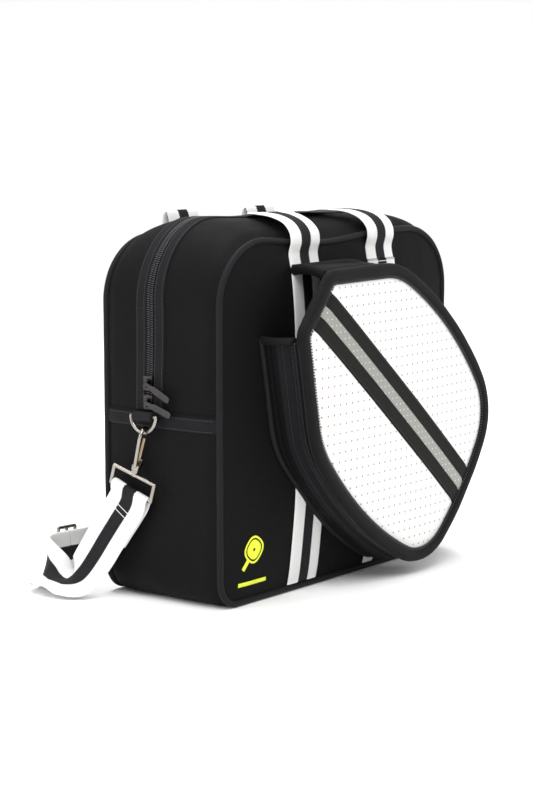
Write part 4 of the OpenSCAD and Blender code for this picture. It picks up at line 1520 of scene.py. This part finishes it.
    def roll(self, name: str, s: Array, grow: Array | float, level: Array | float, a: float, b: float,
             closed: bool = False, power: float = 2.4) -> Piece:
        """A soft rolled edge along the outline: |x/a|^power + |y/b|^power = 1 across it.

        Args:
            name: Name of the piece.
            s: Distances along the outline.
            grow: How far outside the outline its middle is.
            level: Level of its middle.
            a: Half of its width.
            b: Half of its height.
            closed: Whether it goes all the way round.
            power: How square it is.

        Returns:
            The piece.
        """
        path = self.edge(s, grow, level)
        out = self.outward(s)
        front = np.broadcast_to([0, -1.0, 0], out.shape)
        angle = np.linspace(0, 2 * math.pi, 22, endpoint=False)
        c, d = np.cos(angle), np.sin(angle)
        radius = (np.abs(c) ** power + np.abs(d) ** power) ** (-1 / power)
        profile = np.stack([a * radius * c, b * radius * d], -1)
        soft = 1 + 0.035 * np.sin(s / 9.0) * np.sin(s / 31.0)
        return carried(name, path, out, front, profile[None] * soft[:, None, None], closed=closed)

    def teeth(self, name: str, way: int) -> Piece:
        """One row of teeth round the case, each a small bar square to the zip."""
        s = np.linspace(6.0, self.open_length - 6.0, 900)
        path = self.edge(s, 6.6, self.zip_level + way * 1.55)
        at, along, out = evenly(path, self.pitch, self.outward(s))
        at = at + along * (0.25 * way * self.pitch)
        side = unit(np.cross(out, along))
        return repeated(name, at, side, along, out, (2.6, 1.2, 1.8), Repeated.TOOTH)

    def zip_tape(self, name: str, way: int) -> Piece:
        """The woven strip under one row of teeth."""
        s = np.linspace(6.0, self.open_length - 6.0, 300)[:, None]
        level = self.zip_level + way * np.linspace(0.15, 3.6, 4)[None, :]
        p = self.edge(s, 5.6 + 0 * s, level)
        outward = np.broadcast_to(self.outward(s[:, 0])[:, None], p.shape)
        return thickened(sheet_piece(name, p, outward, s[:, 0], level[0]), 0.6)

    def face_level(self, r: Array, u: Array, v: Array) -> Array:
        """Level of the white face: depth - 1.4 + 2.6 * (1 - r^2.2), rolled back near the binding."""
        ripple = 0.25 * np.sin(u / 23 + 0.8) * np.sin(v / 19)
        return self.depth - 1.4 + 2.2 * (1 - r ** 2.2) - 1.6 * ease(0.93, 1.0, r) + ripple * (1 - r)

    def face(self) -> Piece:
        """The face as rings that shrink from the outline to the middle."""
        s = np.linspace(0, self.outline.length, 361)[:-1]
        edge = self.outline.at(s)[0]
        middle = np.array([self.face_middle, 0.0])
        r = np.sin(np.linspace(0, math.pi / 2, 40))[:, None]
        flat = middle + r[..., None] * (edge - middle)
        level = self.face_level(r + 0 * s, flat[..., 0], flat[..., 1])
        rings = self.world(flat[..., 0], flat[..., 1], level)
        return thickened(disc_piece("case_white_panel", rings, np.array([0, -1.0, 0])), 3.2)

    def share(self, u: Array, v: Array) -> Array:
        """How far a place of the face lies from its middle, from 0 to 1 at the outline."""
        s = np.linspace(0, self.outline.length, 721)[:-1]
        d = self.outline.at(s)[0] - [self.face_middle, 0.0]
        angle = np.arctan2(d[:, 1], d[:, 0])
        order = np.argsort(angle)
        du, dv = u - self.face_middle, v
        far = np.hypot(d[:, 0], d[:, 1])[order]
        reach = np.interp(np.arctan2(dv, du), angle[order], far, period=2 * math.pi)
        return np.clip(np.hypot(du, dv) / reach, 0, 1)

    def band(self, name: str, width: float, lift: float, crown: float) -> Piece:
        """A stripe along the face, from the mouth to the round end, with rounded long edges.

        Args:
            name: Name of the piece.
            width: Its width.
            lift: How far its edges stand off the face.
            crown: How much further its middle stands.

        Returns:
            The stripe.
        """
        u = np.linspace(self.mouth_u + 1.5, self.mouth_u + self.length - 1.0, 150)[:, None]
        k = np.linspace(-1, 1, 21)[None, :]
        v = k * width / 2 + 0 * u
        level = self.face_level(self.share(u + 0 * v, v), u, v) + lift + crown * (1 - k ** 8)
        p = self.world(u + 0 * v, v, level)
        return thickened(sheet_piece(name, p, np.array([0, -1.0, 0]), u[:, 0], v[0]), 0.5)

    def edge_stitches(self) -> Piece:
        """Close dark stitches that bite over the white face along the binding."""
        s = np.linspace(0, self.outline.length, 1200)
        path = self.edge(s, -0.5, self.depth + 0.35 - 1.9)
        at, along, out = evenly(path, 2.3, self.outward(s))
        front = np.broadcast_to([0, -1.0, 0], out.shape)
        return repeated("case_edge_stitches", at, out, along, front, (3.2, 1.25, 1.6), Repeated.STITCH)

    def row(
        self, name: str, grow: float, level: float | Array, trim: float = 8.0, pitch: float = 3.0
    ) -> Piece:
        """A row of stitches on the gusset or the binding."""
        s = np.linspace(trim, self.open_length - trim, 900)
        path = self.edge(s, grow, level)
        return stitch_row(name, path, self.outward(s), pitch)

    def stripe_stitches(self, name: str, v: float) -> Piece:
        """A row of stitches along one long edge of a stripe."""
        u = np.linspace(self.mouth_u + 4, self.mouth_u + self.length - 4, 500)
        level = self.face_level(self.share(u, v + 0 * u), u, v) + 1.0
        path = self.world(u, v + 0 * u, level)
        return stitch_row(name, path, np.broadcast_to([0, -1.0, 0], path.shape), 2.8, 0.5)

    def mouth_roll(self, name: str, low: bool) -> Piece:
        """Binding over one cut end of the rear gusset, from the panel to the zip."""
        s = np.array([6.0 if low else self.open_length - 6.0])
        base = float(self.base_level(s, 8.0)[0])
        level = np.linspace(base + 0.5, self.zip_level + 0.5, 24)
        k = (level - base) / (self.zip_level - base)
        grow = 6.6 + 2.4 * np.sin(math.pi * k ** 0.8) - 1.6 * k ** 4
        path = self.edge(s[0], grow, level)
        out = np.broadcast_to(self.outward(s)[0], path.shape)
        along = unit(np.gradient(path, axis=0))
        side = unit(np.cross(along, out))
        return carried(name, path, out, side, round_profile(4.2, 14, 0.75))

    def build(self) -> None:
        """Makes the case's pieces."""
        ring = np.linspace(0, self.outline.length, 501)[:-1]
        arc = np.linspace(5.0, self.open_length - 5.0, 420)
        base = self.base_level(arc, 9.5)
        settle(self.roll("case_base_roll", arc, 9.6, base + 1.9, 2.4, 2.2, power=2.0), Finish.PIPING, "bag",
               "case_base_piping")
        rear = thickened(self.wall("case_rear_wall", 0.0, 0.66, 22), 3.4)
        dress(rear, Finish.NEOPRENE, Finish.LINING)
        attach(rear, "bag")
        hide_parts("case_rear_gusset")
        tape = thickened(self.wall("case_rear_tape", 0.6, 1.0, 12, proud=0.5), 1.4)
        settle(tape, Finish.TAPE, "bag")
        settle(self.teeth("case_rear_coil", -1), Finish.TEETH, "bag", "case_rear_teeth")
        settle(self.zip_tape("case_rear_strip", -1), Finish.TAPE, "bag")
        settle(self.teeth("case_front_coil", 1), Finish.TEETH, "case_cover", "case_front_teeth")
        settle(self.zip_tape("case_front_strip", 1), Finish.TAPE, "case_cover")
        settle(self.front_wall(), Finish.TAPE, "case_cover", "case_front_gusset")

        face = dress(self.face(), Finish.WHITE, Finish.LINING)
        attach(face, "case_cover")
        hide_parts("case_face")
        middle = self.depth - 4.0
        binding = self.roll("case_face_binding", ring, 4.6, middle, 5.3, 4.6, closed=True)
        settle(binding, Finish.BINDING, "case_cover", "case_binding")
        settle(self.edge_stitches(), Finish.THREAD, "case_cover")
        black = self.band("case_black_band", self.stripe, 0.5, 0.3)
        settle(black, Finish.BLACK, "case_cover", "case_black_stripe")
        settle(self.band("case_silver_band", self.silver, 1.0, 0.35), Finish.SILVER, "case_cover",
               "case_silver_stripe")
        for v, word in ((self.stripe / 2 - 1.6, "upper"), (1.6 - self.stripe / 2, "lower")):
            settle(self.stripe_stitches(f"case_stripe_stitches_{word}", v), Finish.THREAD, "case_cover")
        settle(self.row("case_binding_stitches", 10.0, middle - 1.0), Finish.THREAD, "case_cover")
        settle(self.row("case_tape_stitches", 9.4, self.zip_level - 8.0), Finish.THREAD, "bag")
        for low, word in ((True, "lower"), (False, "upper")):
            roll = self.mouth_roll(f"case_mouth_roll_{word}", low)
            settle(roll, Finish.BINDING, "bag", "case_mouth_binding")
        for node in ("case_zip_slider", "case_zip_pull"):
            dress(frame["nodes"][node], Finish.SLIDER)


@dataclass
class Mark:
    """A small printed paddle over a bar, laid on the front panel."""

    shape: BagShape
    lift: float = 0.35
    tilt: float = -40.0
    head: float = 9.6

    def __post_init__(self) -> None:
        """Reads its place from the CAD mark."""
        low, high = cad_box("emblem")
        self.x = (low[0] + high[0]) / 2
        self.z = low[2] + 22.0

    def laid(self, name: str, x: Array, z: Array) -> Piece:
        """A grid of places in the mark's own plane, laid on the panel."""
        px, pz = self.x + x, self.z + z
        y = self.shape.panel_y(px, pz) - self.lift
        p = np.stack([px, y, pz], -1)
        return thickened(sheet_piece(name, p, np.array([0, -1.0, 0]), x[:, 0], z[0]), 0.3)

    def build(self) -> None:
        """Makes the paddle's ring and hub, its handle and the bar under it."""
        a = np.linspace(0, 2 * math.pi, 65)[:, None]
        t = math.radians(self.tilt)
        power = 2.6
        full = (np.abs(np.cos(a)) ** power + np.abs(np.sin(a)) ** power) ** (-1 / power)
        for name, inner, outer in (("mark_head_rim", 0.84, 1.0), ("mark_head_middle", 0.12, 0.72)):
            r = self.head * np.linspace(inner, outer, 6)[None, :] * full
            hx, hz = r * np.cos(a), r * np.sin(a) * 1.1
            x = hx * math.cos(t) - hz * math.sin(t)
            z = 6 + hx * math.sin(t) + hz * math.cos(t)
            settle(self.laid(name, x, z), Finish.PRINT, "bag", "emblem")
        k = np.linspace(-1, 1, 5)[:, None]
        d = np.linspace(-19.5, -10.6, 12)[None, :]
        hx, hz = k * 1.7 + 0 * d, d + 0 * k
        x = hx * math.cos(t) - hz * math.sin(t)
        z = 6 + hx * math.sin(t) + hz * math.cos(t)
        settle(self.laid("mark_grip", x, z), Finish.PRINT, "bag")
        bar = np.linspace(-17, 17, 40)[:, None]
        z = np.linspace(-22, -18.8, 5)[None, :]
        settle(self.laid("mark_bar", bar + 0 * z, z + 0 * bar), Finish.PRINT, "bag")


# ---- Studio ----


@dataclass
class Studio:
    """Pale floor, soft lights and the camera."""

    camera_at: tuple = (-1319.9, -1012.4, 374.4)
    forward: tuple = (0.7811, 0.6091, -0.1373)
    lens: float = 90.3

    def floor(self) -> None:
        """A pale sweep: flat under the bag, rising far behind it."""
        x = np.linspace(-6, 6, 9)[:, None] / MM
        k = np.linspace(0, 1, 60)[None, :]
        d = np.array(self.forward)[:2]
        d = d / np.linalg.norm(d)
        reach = (-3.0 + 8.5 * k) / MM
        bend = np.clip(k - 0.72, 0, 1) / 0.28
        height = (3.4 * bend ** 2.2) / MM
        p = np.stack([
            d[0] * reach - d[1] * x, d[1] * reach + d[0] * x, height + 0 * x
        ], -1)
        floor = sheet_piece("floor", p, np.array([0, 0, 1.0]), x[:, 0], k[0])
        n = Nodes("floor")
        n.set(base_color=(0.97, 0.97, 0.97, 1.0), roughness=0.85, specular_ior_level=0.1)
        floor.data.materials.append(n.material)

    def light(self, name: str, at: tuple, target: tuple, size: float, power: float) -> None:
        """A soft square light aimed at a point. Places and size are in metres."""
        data = bpy.data.lights.new(name, "AREA")
        data.shape = "SQUARE"
        data.size = size
        data.energy = power
        lamp = bpy.data.objects.new(name, data)
        lamp.location = at
        lamp.rotation_euler = (Vector(target) - Vector(at)).to_track_quat("-Z", "Y").to_euler()
        bpy.context.scene.collection.objects.link(lamp)

    def camera(self) -> None:
        """The camera, level from side to side."""
        data = bpy.data.cameras.new("camera")
        data.lens = self.lens
        data.sensor_width = 36
        camera = bpy.data.objects.new("camera", data)
        direction = Vector(self.forward)
        camera.matrix_world = Matrix.Translation(Vector(self.camera_at) * MM) @ direction.to_track_quat(
            "-Z", "Y"
        ).to_matrix().to_4x4()
        bpy.context.scene.collection.objects.link(camera)
        bpy.context.scene.camera = camera

    def build(self) -> None:
        """Sets the stage."""
        self.camera()
        self.floor()
        middle = (0, 0, 0.15)
        self.light("key", (-1.3, -1.2, 2.2), middle, 1.4, 44)
        self.light("left", (-1.9, 0.9, 1.1), middle, 1.2, 16)
        self.light("right", (1.5, -1.6, 1.3), middle, 1.6, 16)
        self.light("top", (0.2, 0.6, 2.4), middle, 1.2, 40)
        world = bpy.data.worlds.new("studio")
        bpy.context.scene.world = world
        world.use_nodes = True
        background = world.node_tree.nodes["Background"]
        background.inputs["Color"].default_value = (1.0, 1.0, 1.0, 1.0)
        background.inputs["Strength"].default_value = 0.8
        bpy.context.scene.view_settings.view_transform = "Standard"


def main() -> None:
    """Builds the tote and the studio."""
    logging.basicConfig(level=logging.INFO, format="%(name)s: %(message)s")
    Studio().build()
    shape = BagShape()
    body = BagBody(shape)
    body.build()
    MainZip(shape, body).build()
    webbings = Webbings(shape, body)
    webbings.build()
    ShoulderStrap(webbings).build()
    Hardware().build()
    PaddleCase(shape).build()
    Mark(shape).build()


if __name__ == "__main__":
    main()
